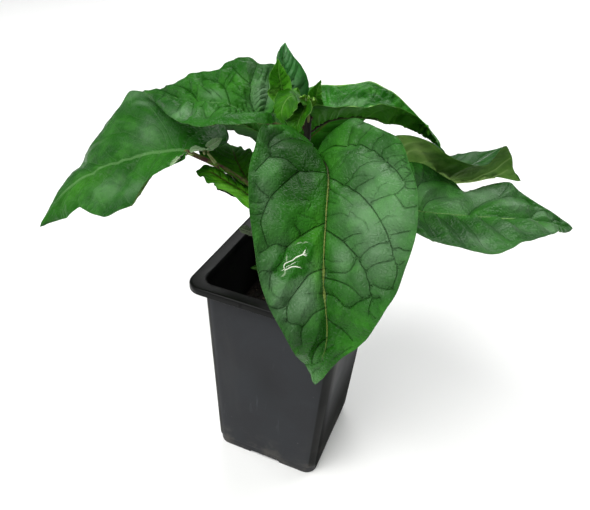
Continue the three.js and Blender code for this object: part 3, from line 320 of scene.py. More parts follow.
        "el": [[0.0, -0.0], [0.0, -0.0], [0.01, -0.01], [0.01, -0.01], [0.03, -0.02], [0.04, -0.02], [0.07, -0.01], [0.09, 0.01], [0.1, 0.04], [0.11, 0.06], [0.06, -0.38], [0.14, -0.67], [0.09, -0.62], [0.05, -0.38], [0.09, -0.29], [0.18, -0.56], [0.4, -0.92], [0.11, -0.26], [-0.28, 0.64], [-0.27, 0.64], [0.08, -0.27], [0.2, -0.87], [0.26, -0.99], [0.21, -0.58], [0.1, -0.01], [-0.01, 0.21], [-0.05, -0.03], [-0.04, -0.14], [0.0, -0.27], [-0.01, -0.43], [0.01, -0.55], [0.07, -0.63], [0.09, -0.65], [0.1, -0.49], [0.07, -0.21], [0.02, 0.03], [-0.08, 0.13], [-0.17, 0.34], [-0.2, 0.69], [0.14, 1.03], [0.33, 0.0]],
        "er": [[0.12, 0.05], [0.23, 0.14], [0.36, 0.32], [0.45, 0.59], [0.39, 0.93], [0.15, 1.26], [0.02, -0.26], [0.33, -1.54], [0.38, -1.51], [0.32, -1.09], [0.23, -0.79], [0.19, -0.36], [-0.05, 0.02], [-0.38, 0.63], [-0.72, 1.21], [-0.85, 1.25], [-0.38, 0.63], [-0.02, 0.14], [-0.23, 0.28], [-0.46, 0.49], [-0.61, 0.84], [-0.45, 0.55], [-0.29, 0.31], [-0.27, 0.29], [-0.13, 0.07], [0.36, -0.37], [0.45, -0.65], [0.51, -0.67], [0.4, -0.5], [0.18, -0.07], [-0.13, 0.37], [0.08, -0.06], [0.09, -0.25], [0.14, -0.15], [0.02, -0.05], [0.06, -0.09], [-0.0, -0.09], [-0.2, -0.08], [-1.43, -0.19], [-3.6, -0.45], [-6.11, 0.0]],
    },
    "B": {
        "name": "leaf_upper_left",
        "size": "big",
        "slot": "leaf_quilted_mid",
        "mat": "quilted",
        "r": 1.1,
        "stalk": [[0.0, 0.0, 202.0], [-8.0, -2.5, 206.3]],
        "mid": [[-20.72, -6.47, 209.91], [-27.78, -7.72, 212.55], [-39.39, -8.23, 214.88], [-57.05, -2.72, 210.9], [-79.78, 6.67, 206.19], [-106.72, 20.06, 199.92]],
        "up": [-0.0891, -0.4454, 0.8909],
        "roll": [0.716, 0.317, 0.14, 0.104],
        "wl": [12.74, 18.67, 24.48, 31.0, 28.97, 21.33, 16.45, 11.69, 6.94, 3.15, 0.0],
        "wr": [7.6, 16.9, 30.84, 31.39, 28.57, 22.42, 18.9, 13.9, 7.63, 3.04, 0.0],
        "fl": [0.299, 0.1, 0.146, -0.027],
        "fr": [0.568, 0.435, 0.408, 0.038],
        "cl": [0.136, -0.174, -0.206, -0.178],
        "cr": [0.162, -0.07, -0.1, -0.094],
        "auto": False,
        "cell": 3.2,
        "longer": 2.2,
        "quilt": 2.4,
        "net": 1.5,
        "puff": 2.3,
        "ripple": [0.25, 8.0],
        "wave": 0.8,
        "rib_wide": 0.26,
        "vein_wide": 0.28,
        "groove": 2.8,
        "tone_and_shade": [[0.32, 0.4, 0.2, 0.3, 0.4]],
        "painted_sheen": [[0.17, 0.42, 0.08, 0.35, 0.3], [0.21, 0.94, 0.06, 0.2, 0.12], [0.5, -0.78, 0.1, 0.25, 0.3], [0.49, 0.18, 0.07, 0.12, 0.2]],
        "veins": [[[0.075, 0.0], [0.178, 0.123], [0.236, 0.277], [0.259, 0.485], [0.309, 0.569], [0.355, 0.715], [0.401, 0.892]], [[0.259, 0.462], [0.247, 0.708], [0.232, 0.946]], [[0.029, 0.0], [0.125, 0.308], [0.152, 0.5], [0.175, 0.692], [0.171, 0.877]], [[0.359, 0.0], [0.393, 0.146], [0.424, 0.331], [0.47, 0.538], [0.535, 0.708], [0.604, 0.8]], [[0.424, 0.331], [0.389, 0.569], [0.355, 0.692]], [[0.608, 0.0], [0.658, 0.246], [0.715, 0.462], [0.784, 0.731]], [[0.746, 0.0], [0.822, 0.238], [0.88, 0.5]], [[0.171, 0.0], [0.194, -0.292], [0.221, -0.392]], [[0.359, 0.0], [0.378, -0.138], [0.347, -0.377], [0.305, -0.677]], [[0.52, 0.0], [0.516, -0.277], [0.447, -0.608], [0.374, -0.838]], [[0.658, 0.0], [0.642, -0.369], [0.592, -0.715]], [[0.838, 0.0], [0.815, -0.531], [0.796, -0.931]]],
        "cross": [[[0.217, 0.369], [0.201, 0.454], [0.182, 0.546]], [[0.205, 0.285], [0.182, 0.377], [0.167, 0.469]], [[0.186, 0.2], [0.171, 0.308], [0.152, 0.4]], [[0.155, 0.138], [0.144, 0.238], [0.129, 0.346]], [[0.121, 0.085], [0.117, 0.177], [0.102, 0.292]], [[0.213, 0.231], [0.244, 0.254], [0.274, 0.292]], [[0.182, 0.138], [0.224, 0.177], [0.259, 0.2]], [[0.14, 0.077], [0.198, 0.085], [0.24, 0.115]], [[0.213, -0.177], [0.27, -0.031], [0.301, 0.031]], [[0.19, -0.131], [0.24, 0.015], [0.263, 0.069]], [[0.163, -0.023], [0.205, 0.054], [0.236, 0.1]], [[0.224, -0.308], [0.282, -0.138], [0.328, -0.031]], [[0.278, -0.462], [0.313, -0.315], [0.336, -0.177]], [[0.244, -0.4], [0.293, -0.231], [0.343, -0.069]], [[0.489, -0.054], [0.408, -0.231]], [[0.447, -0.062], [0.385, -0.169]], [[0.447, 0.423], [0.42, 0.554], [0.397, 0.692]], [[0.493, 0.685], [0.47, 0.823], [0.443, 0.946]], [[0.562, 0.423], [0.585, 0.554], [0.6, 0.692]], [[0.313, 0.292], [0.347, 0.392], [0.382, 0.523]], [[0.278, 0.169], [0.32, 0.208], [0.362, 0.262]], [[0.224, 0.646], [0.213, 0.762], [0.209, 0.9]], [[0.19, 0.677], [0.186, 0.792], [0.182, 0.908]], [[0.592, -0.477], [0.531, -0.738], [0.462, -0.892]], [[0.577, -0.208], [0.504, -0.515], [0.389, -0.754]], [[0.493, -0.315], [0.389, -0.477], [0.328, -0.615]], [[0.627, 0.254], [0.612, 0.385], [0.604, 0.523]], [[0.692, 0.285], [0.673, 0.431], [0.673, 0.623]], [[0.803, -0.1], [0.769, -0.562]], [[0.742, -0.162], [0.688, -0.546]], [[0.512, 0.2], [0.554, 0.323], [0.581, 0.423]], [[0.435, 0.092], [0.477, 0.223], [0.516, 0.354]]],
        "er": [[0.02, 0.07], [0.02, 0.18], [-0.02, 0.38], [-0.1, 0.67], [-0.32, 1.09], [-0.49, 1.38], [-0.52, 1.31], [-0.16, 0.71], [-0.06, -0.22], [0.34, -1.29], [0.22, -0.25], [-0.01, 0.21], [0.02, -0.05], [0.0, -0.16], [-0.03, -0.35], [0.03, 0.03], [0.24, 0.99], [0.49, 1.26], [0.29, 0.67], [0.03, -0.12], [-0.16, -0.19], [-0.13, 0.21], [-0.07, 0.37], [0.0, 0.37], [0.07, 0.31], [0.06, 0.58], [0.1, 0.94], [0.29, 1.02], [0.1, 0.25], [-0.32, -0.57], [-0.69, -1.35], [-0.5, -1.51], [-0.42, -1.35], [-0.34, -1.17], [-0.29, -0.96], [-0.32, -0.96], [-0.36, -1.16], [-0.54, -1.56], [-0.32, -1.97], [-0.05, -1.02], [0.5, 0.0]],
        "el": [[-0.26, -0.94], [-0.12, -1.79], [0.06, -2.72], [0.36, -2.49], [0.41, -1.06], [-0.02, 0.12], [0.03, -0.03], [0.27, -0.11], [0.3, -0.44], [-0.13, 0.3], [-0.67, 0.76], [-0.99, 0.99], [-0.62, 0.63], [-0.26, 0.2], [0.11, -0.12], [0.43, -0.51], [0.33, -0.58], [0.34, -0.5], [0.29, -0.35], [0.11, -0.15], [-0.0, 0.0], [-0.16, 0.12], [-0.2, 0.24], [-0.25, 0.21], [-0.14, 0.21], [-0.03, 0.19], [-0.07, 0.07], [0.1, -0.14], [0.2, -0.36], [0.32, -0.56], [0.38, -0.74], [0.44, -0.89], [0.6, -0.89], [0.56, -0.77], [0.48, -0.64], [0.38, -0.51], [0.25, -0.37], [0.1, -0.2], [-0.06, 0.01], [-0.22, 0.29], [0.07, 0.0]],
    },
    "I": {
        "name": "leaf_right",
        "size": "big",
        "slot": "leaf_quilted_mid",
        "mat": "quilted_right",
        "r": 1.25,
        "stalk": [[0.0, 0.0, 170.0], [18.0, -4.0, 176.5], [38.0, -8.6, 181.5]],
        "mid": [[56.95, -13.31, 185.31], [69.25, -7.36, 183.94], [82.11, -0.46, 183.15], [96.89, 11.48, 180.1], [111.69, 26.58, 174.55], [130.76, 39.88, 168.5]],
        "up": [0.0, -0.2425, 0.9701],
        "roll": [0.022, -0.213, -0.058, 0.008],
        "wl": [13.84, 22.25, 28.37, 34.12, 35.75, 34.17, 26.83, 16.45, 9.66, 4.71, 0.0],
        "wr": [16.72, 24.14, 31.97, 41.23, 33.49, 27.54, 21.97, 15.66, 9.57, 4.49, 0.0],
        "fl": [0.604, 0.02, 0.351, 0.249],
        "fr": [0.355, 0.243, 0.286, 0.112],
        "cl": [0.154, -0.219, -0.052, 0.008],
        "cr": [-0.073, -0.181, -0.131, -0.092],
        "auto": False,
        "cell": 4.2,
        "longer": 1.5,
        "quilt": 2.2,
        "net": 1.4,
        "puff": 2.0,
        "ripple": [0.15, 11.0],
        "wave": 1.0,
        "rib_wide": 0.42,
        "vein_wide": 0.28,
        "groove": 1.8,
        "mid_groove": 0.45,
        "rib_up": 0.7,
        "tone_and_shade": [[0.22, 0.24, 0.1, 0.15, -0.9], [0.14, 0.5, 0.08, 0.3, -0.3], [0.33, 0.55, 0.14, 0.3, -0.4], [0.12, -0.4, 0.08, 0.4, 0.0]],
        "painted_sheen": [[0.3, -0.3, 0.1, 0.22, 0.3], [0.47, -0.62, 0.14, 0.25, 0.38], [0.66, -0.38, 0.1, 0.2, 0.33], [0.84, -0.5, 0.06, 0.3, 0.22], [0.23, 0.74, 0.04, 0.15, 0.25], [0.66, 0.84, 0.1, 0.15, 0.2], [0.42, 0.6, 0.08, 0.12, 0.12], [0.14, -0.35, 0.08, 0.4, 0.14]],
        "veins": [[[0.075, 0.0], [0.14, -0.192], [0.205, -0.323], [0.267, -0.462]], [[0.044, -0.123], [0.083, -0.331], [0.121, -0.538], [0.171, -0.677], [0.224, -0.854], [0.255, -0.931], [0.293, -0.908]], [[0.393, 0.0], [0.42, -0.169], [0.454, -0.292], [0.508, -0.446], [0.569, -0.562], [0.592, -0.762], [0.604, -0.915]], [[0.508, -0.446], [0.573, -0.515], [0.665, -0.677], [0.738, -0.862], [0.78, -0.762]], [[0.78, 0.0], [0.788, -0.338], [0.807, -0.654], [0.838, -0.815], [0.868, -0.554]], [[0.888, -0.185], [0.903, -0.615], [0.926, -0.623]], [[0.175, 0.0], [0.201, 0.246], [0.198, 0.485], [0.182, 0.708], [0.175, 0.862]], [[0.305, 0.0], [0.29, 0.285], [0.263, 0.523], [0.232, 0.754], [0.221, 0.885]], [[0.458, 0.0], [0.389, 0.431], [0.347, 0.692], [0.332, 0.877]], [[0.585, 0.0], [0.497, 0.523], [0.462, 0.785]], [[0.769, 0.0], [0.681, 0.569], [0.635, 0.877]], [[0.094, 0.0], [0.113, 0.454], [0.117, 0.738]]],
        "el": [[0.2, 0.04], [0.26, 0.11], [0.28, 0.25], [0.21, 0.31], [-0.07, -0.19], [0.08, -0.14], [0.08, -0.42], [0.06, -0.41], [0.04, 0.13], [0.06, 0.34], [-0.05, 0.34], [-0.02, 1.03], [0.05, 0.52], [-0.0, -0.41], [0.11, -0.8], [-0.14, 0.41], [-0.15, 0.7], [-0.1, 0.53], [-0.09, 0.38], [-0.04, -0.09], [0.15, -0.89], [0.24, -1.07], [0.17, -0.69], [0.04, 0.18], [0.01, 0.31], [0.05, 0.38], [-0.12, -0.1], [-0.13, -0.37], [-0.13, -0.51], [-0.11, -0.7], [-0.06, -0.52], [0.0, -0.48], [0.05, -0.58], [0.01, -0.56], [0.01, -0.41], [0.05, -0.17], [-0.01, 0.05], [-0.02, 0.35], [0.03, 0.68], [0.13, 0.99], [0.12, 0.0]],
        "er": [[-0.24, -0.22], [-0.2, -0.37], [-0.11, -0.51], [-0.11, -0.13], [-0.35, 0.61], [-0.07, 0.25], [0.75, -1.1], [-0.12, 0.08], [-0.82, 1.09], [-0.25, 0.28], [0.24, -0.43], [0.22, -0.3], [-0.15, 0.12], [-0.31, 0.33], [0.01, -0.03], [0.61, -0.48], [0.57, -0.38], [0.19, -0.24], [0.03, -0.1], [-0.0, -0.0], [-0.08, 0.03], [-0.03, 0.02], [0.03, -0.05], [0.17, -0.07], [0.13, -0.04], [-0.34, 0.17], [-0.72, 0.23], [-0.64, 0.35], [-0.39, 0.31], [-0.11, 0.25], [0.02, 0.17], [0.01, 0.13], [0.01, 0.06], [0.18, -0.02], [0.25, -0.14], [0.26, -0.19], [0.26, -0.15], [0.12, -0.04], [-0.11, 0.09], [-0.12, 0.08], [0.07, 0.0]],
    },
    "C": {
        "name": "leaf_far_left",
        "size": "big",
        "slot": "leaf_quilted_mid",
        "mat": "quilted_far",
        "r": 1.25,
        "stalk": [[0.0, 0.0, 163.0], [-14.0, -3.0, 168.0], [-29.2, -5.0, 174.0], [-42.4, -5.5, 179.0], [-54.0, -8.2, 183.5]],
        "mid": [[-59.83, -12.01, 187.15], [-67.34, -10.71, 185.59], [-85.07, -14.04, 179.93], [-107.63, -20.8, 170.09], [-125.76, -29.42, 154.95], [-139.03, -40.37, 134.66]],
        "up": [-0.2154, -0.6461, 0.7322],
        "roll": [0.46, 0.081, 0.149, 0.027],
        "wl": [13.4, 21.44, 31.86, 40.35, 41.74, 34.66, 23.46, 18.06, 9.65, 3.85, 0.0],
        "wr": [8.45, 23.35, 31.49, 43.33, 54.35, 42.61, 28.82, 16.96, 8.83, 3.61, 0.0],
        "fl": [0.283, 0.22, 0.032, -0.25],
        "fr": [-0.139, 0.1, -0.081, -0.227],
        "cl": [-0.132, -0.225, -0.316, -0.359],
        "cr": [-0.476, -0.366, -0.406, -0.359],
        "auto": False,
        "cell": 4.2,
        "longer": 1.6,
        "quilt": 1.4,
        "net": 1.4,
        "puff": 1.0,
        "ripple": [0.3, 14.0],
        "wave": 0.9,
        "rib_wide": 1.5,
        "vein_wide": 0.3,
        "groove": 2.2,
        "mid_groove": 0.3,
        "rib_up": 0.2,
        "tone_and_shade": [[0.12, 0.55, 0.125, 0.65, -2.5], [0.37, 0.6, 0.025, 0.13, -1.6], [0.7, -0.3, 0.2, 0.5, 0.5]],
        "painted_sheen": [[0.34, 0.95, 0.05, 0.12, 0.16], [0.33, 0.72, 0.03, 0.06, 0.2], [0.34, 0.22, 0.08, 0.18, 0.14], [0.47, -0.59, 0.09, 0.22, 0.15], [0.29, -0.65, 0.05, 0.15, 0.15], [0.33, 0.42, 0.03, 0.08, 0.15]],
        "veins": [[[0.24, 0.0], [0.305, 0.038], [0.351, 0.115], [0.389, 0.231], [0.42, 0.377], [0.447, 0.508], [0.485, 0.615], [0.52, 0.715], [0.543, 0.862]], [[0.186, 0.0], [0.24, 0.138], [0.27, 0.315], [0.286, 0.415], [0.305, 0.6], [0.32, 0.723], [0.332, 0.885]], [[0.259, 0.0], [0.293, 0.308], [0.328, 0.415], [0.366, 0.515], [0.397, 0.731]], [[0.569, 0.0], [0.6, 0.177], [0.623, 0.454], [0.638, 0.8]], [[0.408, 0.0], [0.416, -0.162], [0.42, -0.323], [0.416, -0.492], [0.412, -0.6], [0.42, -0.731], [0.428, -0.862]], [[0.531, 0.0], [0.531, -0.238], [0.543, -0.408], [0.558, -0.546], [0.573, -0.746]], [[0.631, 0.0], [0.658, -0.162], [0.688, -0.3], [0.707, -0.5]], [[0.305, 0.0], [0.301, -0.185], [0.29, -0.354], [0.27, -0.523], [0.259, -0.708], [0.236, -0.892]], [[0.753, 0.0], [0.796, -0.154], [0.838, -0.4]], [[0.117, 0.0], [0.159, 0.185], [0.148, 0.4], [0.132, 0.654]]],
        "cross": [[[0.37, 0.731], [0.359, 0.838], [0.355, 0.992]], [[0.347, 0.477], [0.382, 0.392], [0.401, 0.323]], [[0.458, 0.562], [0.458, 0.785], [0.462, 1.0]], [[0.328, 0.423], [0.347, 0.315], [0.351, 0.2]], [[0.462, 0.0], [0.474, 0.162], [0.474, 0.308]], [[0.512, -0.069], [0.539, 0.177], [0.546, 0.423]], [[0.428, -0.862], [0.481, -0.7], [0.508, -0.523], [0.489, -0.423], [0.428, -0.485]], [[0.42, -0.215], [0.355, -0.346], [0.278, -0.469]], [[0.416, -0.423], [0.339, -0.562], [0.263, -0.677]], [[0.52, -0.254], [0.458, -0.415], [0.416, -0.492]], [[0.573, -0.746], [0.497, -0.8], [0.439, -0.823]], [[0.543, -0.446], [0.608, -0.331], [0.661, -0.238]], [[0.646, -0.023], [0.658, 0.431], [0.65, 0.946]], [[0.401, -0.585], [0.301, -0.777], [0.24, -0.931]]],
        "er": [[-0.28, 0.43], [-0.42, 0.59], [-0.56, 0.6], [-0.19, 0.07], [0.42, 0.32], [0.41, 0.52], [0.25, 0.62], [0.11, 0.55], [0.02, 0.39], [0.19, -0.41], [0.32, -0.56], [0.44, -0.67], [0.52, -0.65], [-0.4, 2.17], [-0.6, 5.82], [0.01, 0.73], [-0.27, -2.96], [-0.16, -3.21], [0.14, -2.05], [-0.01, 0.56], [-0.05, -1.43], [0.01, -1.45], [0.02, -0.67], [-0.13, 0.94], [-0.5, 2.47], [-0.76, 3.18], [-0.72, 2.95], [0.0, 1.31], [0.38, -0.24], [0.25, -1.27], [0.36, -2.0], [0.51, -2.46], [0.4, -2.74], [0.69, -3.27], [0.83, -3.92], [1.04, -3.75], [0.86, -3.24], [0.75, -2.55], [0.54, -1.76], [0.28, -0.9], [0.43, 0.0]],
        "el": [[-0.53, 0.27], [0.27, -0.52], [0.57, -0.76], [0.04, -0.07], [0.18, -0.2], [0.27, -0.4], [-0.25, 0.32], [-1.21, 1.28], [-0.32, 0.47], [0.9, -0.91], [1.07, -1.01], [0.76, -0.76], [0.62, -0.54], [0.4, -0.39], [0.04, -0.12], [-0.22, 0.31], [-0.11, 0.09], [-0.04, 0.13], [-0.12, 0.24], [-0.1, 0.13], [0.04, -0.16], [0.08, -0.22], [0.02, -0.19], [-0.08, -0.2], [-0.02, -0.38], [0.5, -1.1], [1.24, -1.25], [1.01, -0.81], [0.64, -0.47], [0.28, -0.16], [-0.24, 0.16], [-0.22, 0.4], [-0.23, 0.52], [-0.16, 0.64], [-0.02, 0.73], [-0.09, 0.67], [-0.09, 0.57], [-0.08, 0.41], [-0.06, 0.29], [0.01, 0.41], [0.35, 0.0]],
    },
    "H": {
        "name": "leaf_right_rolled",
        "size": "big",
        "slot": "leaf_pale_underside",
        "mat": "pale",
        "r": 1.2,
        "stalk": [[0.0, 0.0, 180.0], [14.0, 9.0, 184.0], [28.0, 19.0, 187.0]],
        "mid": [[40.18, 26.67, 188.22], [54.57, 27.03, 186.14], [66.07, 32.04, 182.46], [77.1, 40.73, 181.9], [88.17, 50.29, 182.31], [101.01, 53.0, 181.71]],
        "up": [0.094, -0.3289, 0.9397],
        "roll": [-0.325, -0.304, -0.257, 0.062],
        "wl": [18.23, 23.38, 27.25, 28.32, 26.94, 24.46, 20.98, 16.97, 9.91, 4.25, 0.0],
        "wr": [18.65, 23.97, 30.95, 26.44, 28.13, 27.21, 25.05, 17.26, 9.1, 3.7, 0.0],
        "fl": [0.457, 0.415, 0.562, 0.69],
        "fr": [1.136, 1.033, 1.276, 1.207],
        "cl": [-0.374, -0.52, -0.397, -0.266],
        "cr": [-0.222, -0.373, -0.231, -0.21],
        "auto": False,
        "auto_sides": [-1],
        "cell": 4.2,
        "longer": 1.6,
        "quilt": 1.0,
        "net": 1.0,
        "puff": 0.9,
        "ripple": [0.3, 13.0],
        "wave": 0.8,
        "vein_wide": 0.36,
        "tone_and_shade": [[0.2, 0.62, 0.09, 0.2, 0.8], [0.38, 0.22, 0.14, 0.2, 0.6], [0.78, 0.1, 0.06, 0.12, -0.8]],
        "veins": [[[0.109, 0.0], [0.171, 0.392], [0.201, 0.723], [0.213, 0.969]], [[0.244, 0.0], [0.255, 0.4], [0.24, 0.746]], [[0.389, 0.0], [0.339, 0.408], [0.29, 0.785]], [[0.589, 0.0], [0.661, 0.138], [0.73, 0.292], [0.75, 0.623], [0.761, 0.931]], [[0.052, 0.0], [0.094, 0.462], [0.152, 0.685], [0.178, 0.9]], [[0.025, 0.138], [0.056, 0.562], [0.106, 0.8], [0.144, 1.0]], [[0.769, 0.0], [0.807, 0.246], [0.826, 0.685]]],
        "el": [[-0.0, -0.0], [0.0, -0.0], [0.0, -0.0], [0.0, -0.0], [0.0, -0.01], [0.01, -0.03], [0.02, -0.06], [0.05, -0.13], [0.09, -0.23], [0.15, -0.41], [0.22, -0.61], [0.29, -0.84], [0.3, -1.08], [0.15, -0.57], [-0.21, 0.65], [-0.32, 1.26], [-0.11, 1.06], [-0.08, 0.52], [-0.06, 0.01], [0.06, -0.46], [0.07, -0.72], [0.14, -0.73], [0.06, -0.54], [-0.03, -0.23], [-0.07, 0.12], [-0.03, -0.26], [0.03, -0.55], [0.07, -0.64], [0.04, -0.45], [-0.21, 0.44], [-0.88, 1.75], [-0.97, 4.56], [0.32, 1.7], [-0.09, -0.05], [-0.71, -1.29], [-0.92, -2.33], [0.23, -2.28], [0.18, -1.49], [-0.03, -0.93], [0.01, -0.43], [0.22, 0.0]],
    },
    "D": {
        "name": "leaf_low_left",
        "size": "",
        "slot": "leaf_young_bright",
        "mat": "lower",
        "r": 1.0,
        "stalk": [[0.0, 0.0, 157.0], [-9.0, -3.5, 161.0]],
        "mid": [[-19.09, -7.19, 165.07], [-26.92, -7.54, 168.89], [-34.69, -7.59, 171.65], [-42.27, -7.03, 173.65], [-50.6, -5.42, 174.88], [-59.13, -5.01, 172.74]],
        "up": [-0.0953, -0.286, 0.9535],
        "roll": [0.284, 0.354, 0.144, -0.035],
        "wl": [8.61, 11.38, 13.51, 13.88, 12.65, 10.25, 8.14, 5.85, 4.02, 2.04, 0.0],
        "wr": [8.66, 11.1, 12.73, 12.77, 12.21, 10.44, 8.22, 6.18, 4.25, 2.14, 0.0],
        "fl": [0.276, 0.38, 0.192, 0.202],
        "fr": [0.113, 0.08, 0.176, 0.492],
        "cl": [-0.248, -0.302, -0.428, -0.24],
        "cr": [-0.433, -0.581, -0.477, -0.13],
        "cell": 3.0,
        "quilt": 1.6,
        "net": 1.6,
        "ripple": [0.8, 9.0],
        "tone_and_shade": [[0.28, -0.6, 0.28, 0.36, 1.2]],
        "el": [[-0.01, -0.24], [0.05, -0.43], [0.15, -0.65], [0.27, -0.85], [0.39, -0.96], [0.41, -0.89], [0.23, -0.47], [0.08, -0.05], [0.02, 0.16], [-0.14, 0.33], [-0.21, 0.47], [-0.35, 0.59], [-0.53, 0.78], [-0.63, 0.86], [-0.61, 0.79], [-0.52, 0.62], [-0.4, 0.42], [-0.23, 0.24], [-0.02, 0.06], [0.12, -0.08], [0.04, -0.05], [-0.03, 0.05], [-0.23, 0.11], [-0.36, 0.3], [-0.11, 0.22], [0.02, 0.04], [-0.09, -0.06], [-0.21, -0.04], [-0.49, 0.28], [-0.7, 0.58], [-0.91, 0.79], [-0.93, 0.93], [-0.66, 0.83], [-0.59, 0.68], [-0.25, 0.56], [0.01, 0.22], [-0.04, -0.03], [-0.13, -0.23], [-0.09, -0.39], [-0.11, -0.42], [0.03, 0.0]],
    },
    "F": {
        "name": "leaf_top_back",
        "size": "",
        "slot": "leaf_glossy_dark",
        "mat": "top_back",
        "r": 0.8,
        "stalk": [[0.0, 0.0, 208.5], [-5.0, 3.5, 213.0]],
        "mid": [[-13.65, 14.92, 215.6], [-15.27, 13.18, 220.64], [-17.38, 12.57, 225.69], [-19.49, 13.27, 230.49], [-20.83, 15.38, 235.38], [-21.6, 19.15, 240.17]],
        "up": [0.2639, -0.6597, 0.7037],
        "roll": [0.115, 0.151, 0.03, -0.016],
        "wl": [5.88, 7.99, 9.89, 10.87, 10.5, 8.98, 6.92, 4.78, 2.91, 1.36, 0.0],
        "wr": [5.61, 7.86, 9.56, 10.16, 9.8, 8.44, 6.73, 4.78, 2.92, 1.37, 0.0],
        "fl": [1.086, 1.007, 0.91, 0.664],
        "fr": [0.35, 0.4, 0.334, 0.193],
        "cl": [-0.014, -0.099, -0.153, -0.079],
        "cr": [-0.072, -0.145, -0.179, -0.1],
        "cell": 2.8,
        "quilt": 2.0,
        "net": 2.4,
        "puff": 2.0,
        "ripple": [0.2, 7.0],
        "groove": 1.0,
        "count": 5,
        "painted_sheen": [[0.75, 0.35, 0.12, 0.3, 0.22], [0.22, 0.3, 0.14, 0.35, 0.2]],
        "er": [[-0.09, -0.0], [-0.11, -0.03], [-0.1, -0.07], [0.03, -0.21], [0.25, -0.39], [0.29, -0.33], [0.15, -0.35], [0.14, -0.41], [0.13, -0.36], [0.04, -0.26], [0.05, -0.28], [0.14, -0.28], [0.1, -0.24], [0.09, -0.19], [0.06, -0.13], [0.04, -0.06], [-0.02, -0.1], [0.05, -0.12], [0.05, -0.13], [-0.03, -0.15], [-0.03, -0.17], [0.03, -0.19], [0.02, -0.22], [0.09, -0.27], [0.0, -0.27], [0.06, -0.24], [0.02, -0.23], [0.07, -0.22], [0.02, -0.21], [0.06, -0.21], [0.09, -0.22], [0.03, -0.24], [0.08, -0.26], [0.08, -0.29], [-0.0, -0.32], [0.09, -0.36], [0.15, -0.39], [0.04, -0.36], [0.02, -0.29], [0.04, -0.16], [-0.05, 0.0]],
        "el": [[-0.0, -0.0], [-0.0, -0.0], [0.0, -0.0], [0.0, -0.0], [0.0, -0.0], [0.0, -0.0], [0.0, -0.0], [0.0, -0.0], [0.0, -0.0], [0.0, -0.0], [0.0, -0.0], [0.0, -0.0], [0.0, -0.0], [0.0, -0.0], [0.0, -0.0], [0.0, -0.0], [0.0, -0.0], [0.0, -0.0], [0.01, -0.0], [0.01, 0.0], [0.02, 0.0], [0.02, 0.0], [0.02, 0.01], [0.01, -0.08], [0.12, -0.06], [0.06, -0.03], [0.15, -0.23], [0.14, -0.36], [0.22, -0.42], [0.23, -0.42], [0.29, -0.44], [0.25, -0.44], [0.2, -0.4], [0.19, -0.28], [0.14, -0.29], [0.18, -0.34], [0.18, -0.35], [0.09, -0.32], [0.18, -0.23], [0.05, -0.15], [-0.05, 0.0]],
    },
    "K": {
        "name": "leaf_top_young",
        "size": "tiny",
        "slot": "leaf_young_bright",
        "mat": "fresh",
        "r": 0.7,
        "stalk": [[0.0, 0.0, 205.0], [-8.0, 6.5, 211.0]],
        "mid": [[-12.82, 6.59, 217.74], [-15.37, 3.52, 221.74], [-15.13, 0.95, 225.81], [-15.37, -1.06, 230.05], [-15.24, -2.7, 233.94], [-15.24, -4.46, 239.03]],
        "up": [0.2716, -0.7243, 0.6338],
        "roll": [-0.094, -0.162, -0.119, -0.009],
        "wl": [5.08, 6.64, 7.91, 8.37, 7.86, 6.83, 5.53, 3.82, 2.22, 1.0, 0.0],
        "wr": [5.12, 6.62, 7.78, 8.1, 7.54, 6.65, 5.43, 3.86, 2.31, 1.05, 0.0],
        "fl": [0.685, 0.628, 0.331, 0.44],
        "fr": [0.742, 0.708, 0.475, 0.468],
        "cl": [0.014, 0.043, -0.064, -0.012],
        "cr": [0.065, 0.117, 0.022, 0.012],
        "cell": 1.8,
        "net": 2.0,
        "quilt": 1.6,
        "ripple": [0.2, 5.0],
        "count": 6,
    },
    "J1": {
        "name": "tip_leaf_curled",
        "size": "tiny",
        "slot": "leaf_young_bright",
        "mat": "tip_dark",
        "r": 0.6,
        "stalk": [[0.0, 0.0, 212.0], [-2.0, -1.5, 217.5]],
        "mid": [[-3.19, -5.76, 223.25], [-5.43, -7.89, 224.98], [-6.78, -10.64, 224.38], [-7.57, -13.35, 222.05], [-7.54, -15.04, 218.5], [-6.33, -15.24, 214.16]],
        "up": [-0.1826, -0.3651, 0.9129],
        "roll": [0.132, 0.032, -0.032, -0.014],
        "wl": [4.91, 6.39, 7.66, 8.65, 9.13, 8.17, 6.36, 4.34, 2.56, 1.15, 0.0],
        "wr": [5.42, 7.0, 8.15, 8.21, 7.56, 6.49, 5.41, 3.99, 2.48, 1.18, 0.0],
        "fl": [0.351, 0.158, 0.098, 0.136],
        "fr": [0.226, 0.181, 0.177, 0.196],
        "cl": [-0.286, -0.475, -0.605, -0.481],
        "cr": [-0.375, -0.513, -0.607, -0.487],
        "cell": 1.5,
        "net": 1.6,
        "quilt": 1.3,
        "ripple": [0.35, 2.6],
        "count": 5,
    },
    "J4": {
        "name": "tip_leaf_pointed",
        "size": "tiny",
        "slot": "leaf_young_bright",
        "mat": "fresh",
        "r": 0.55,
        "stalk": [[0.0, 0.0, 209.5], [0.6, 4.4, 213.5]],
        "mid": [[0.98, 6.55, 216.5], [1.08, 4.78, 219.5], [1.87, 2.5, 222.5], [3.28, -0.51, 226.0], [5.03, -3.75, 230.0], [7.55, -8.63, 235.0]],
        "up": [0.1907, -0.8581, 0.4767],
        "roll": [0.0, 0.0, 0.0, 0.0],
        "wl": [2.3, 3.16, 3.97, 4.43, 4.49, 4.14, 3.34, 2.3, 1.38, 0.63, 0.0],
        "wr": [2.3, 3.16, 3.97, 4.43, 4.49, 4.14, 3.34, 2.3, 1.38, 0.63, 0.0],
        "fl": [0.35, 0.3, 0.25, 0.2],
        "fr": [0.35, 0.3, 0.25, 0.2],
        "cl": [-0.15, -0.15, -0.1, -0.1],
        "cr": [-0.15, -0.15, -0.1, -0.1],
        "cell": 1.4,
        "net": 1.5,
        "quilt": 1.2,
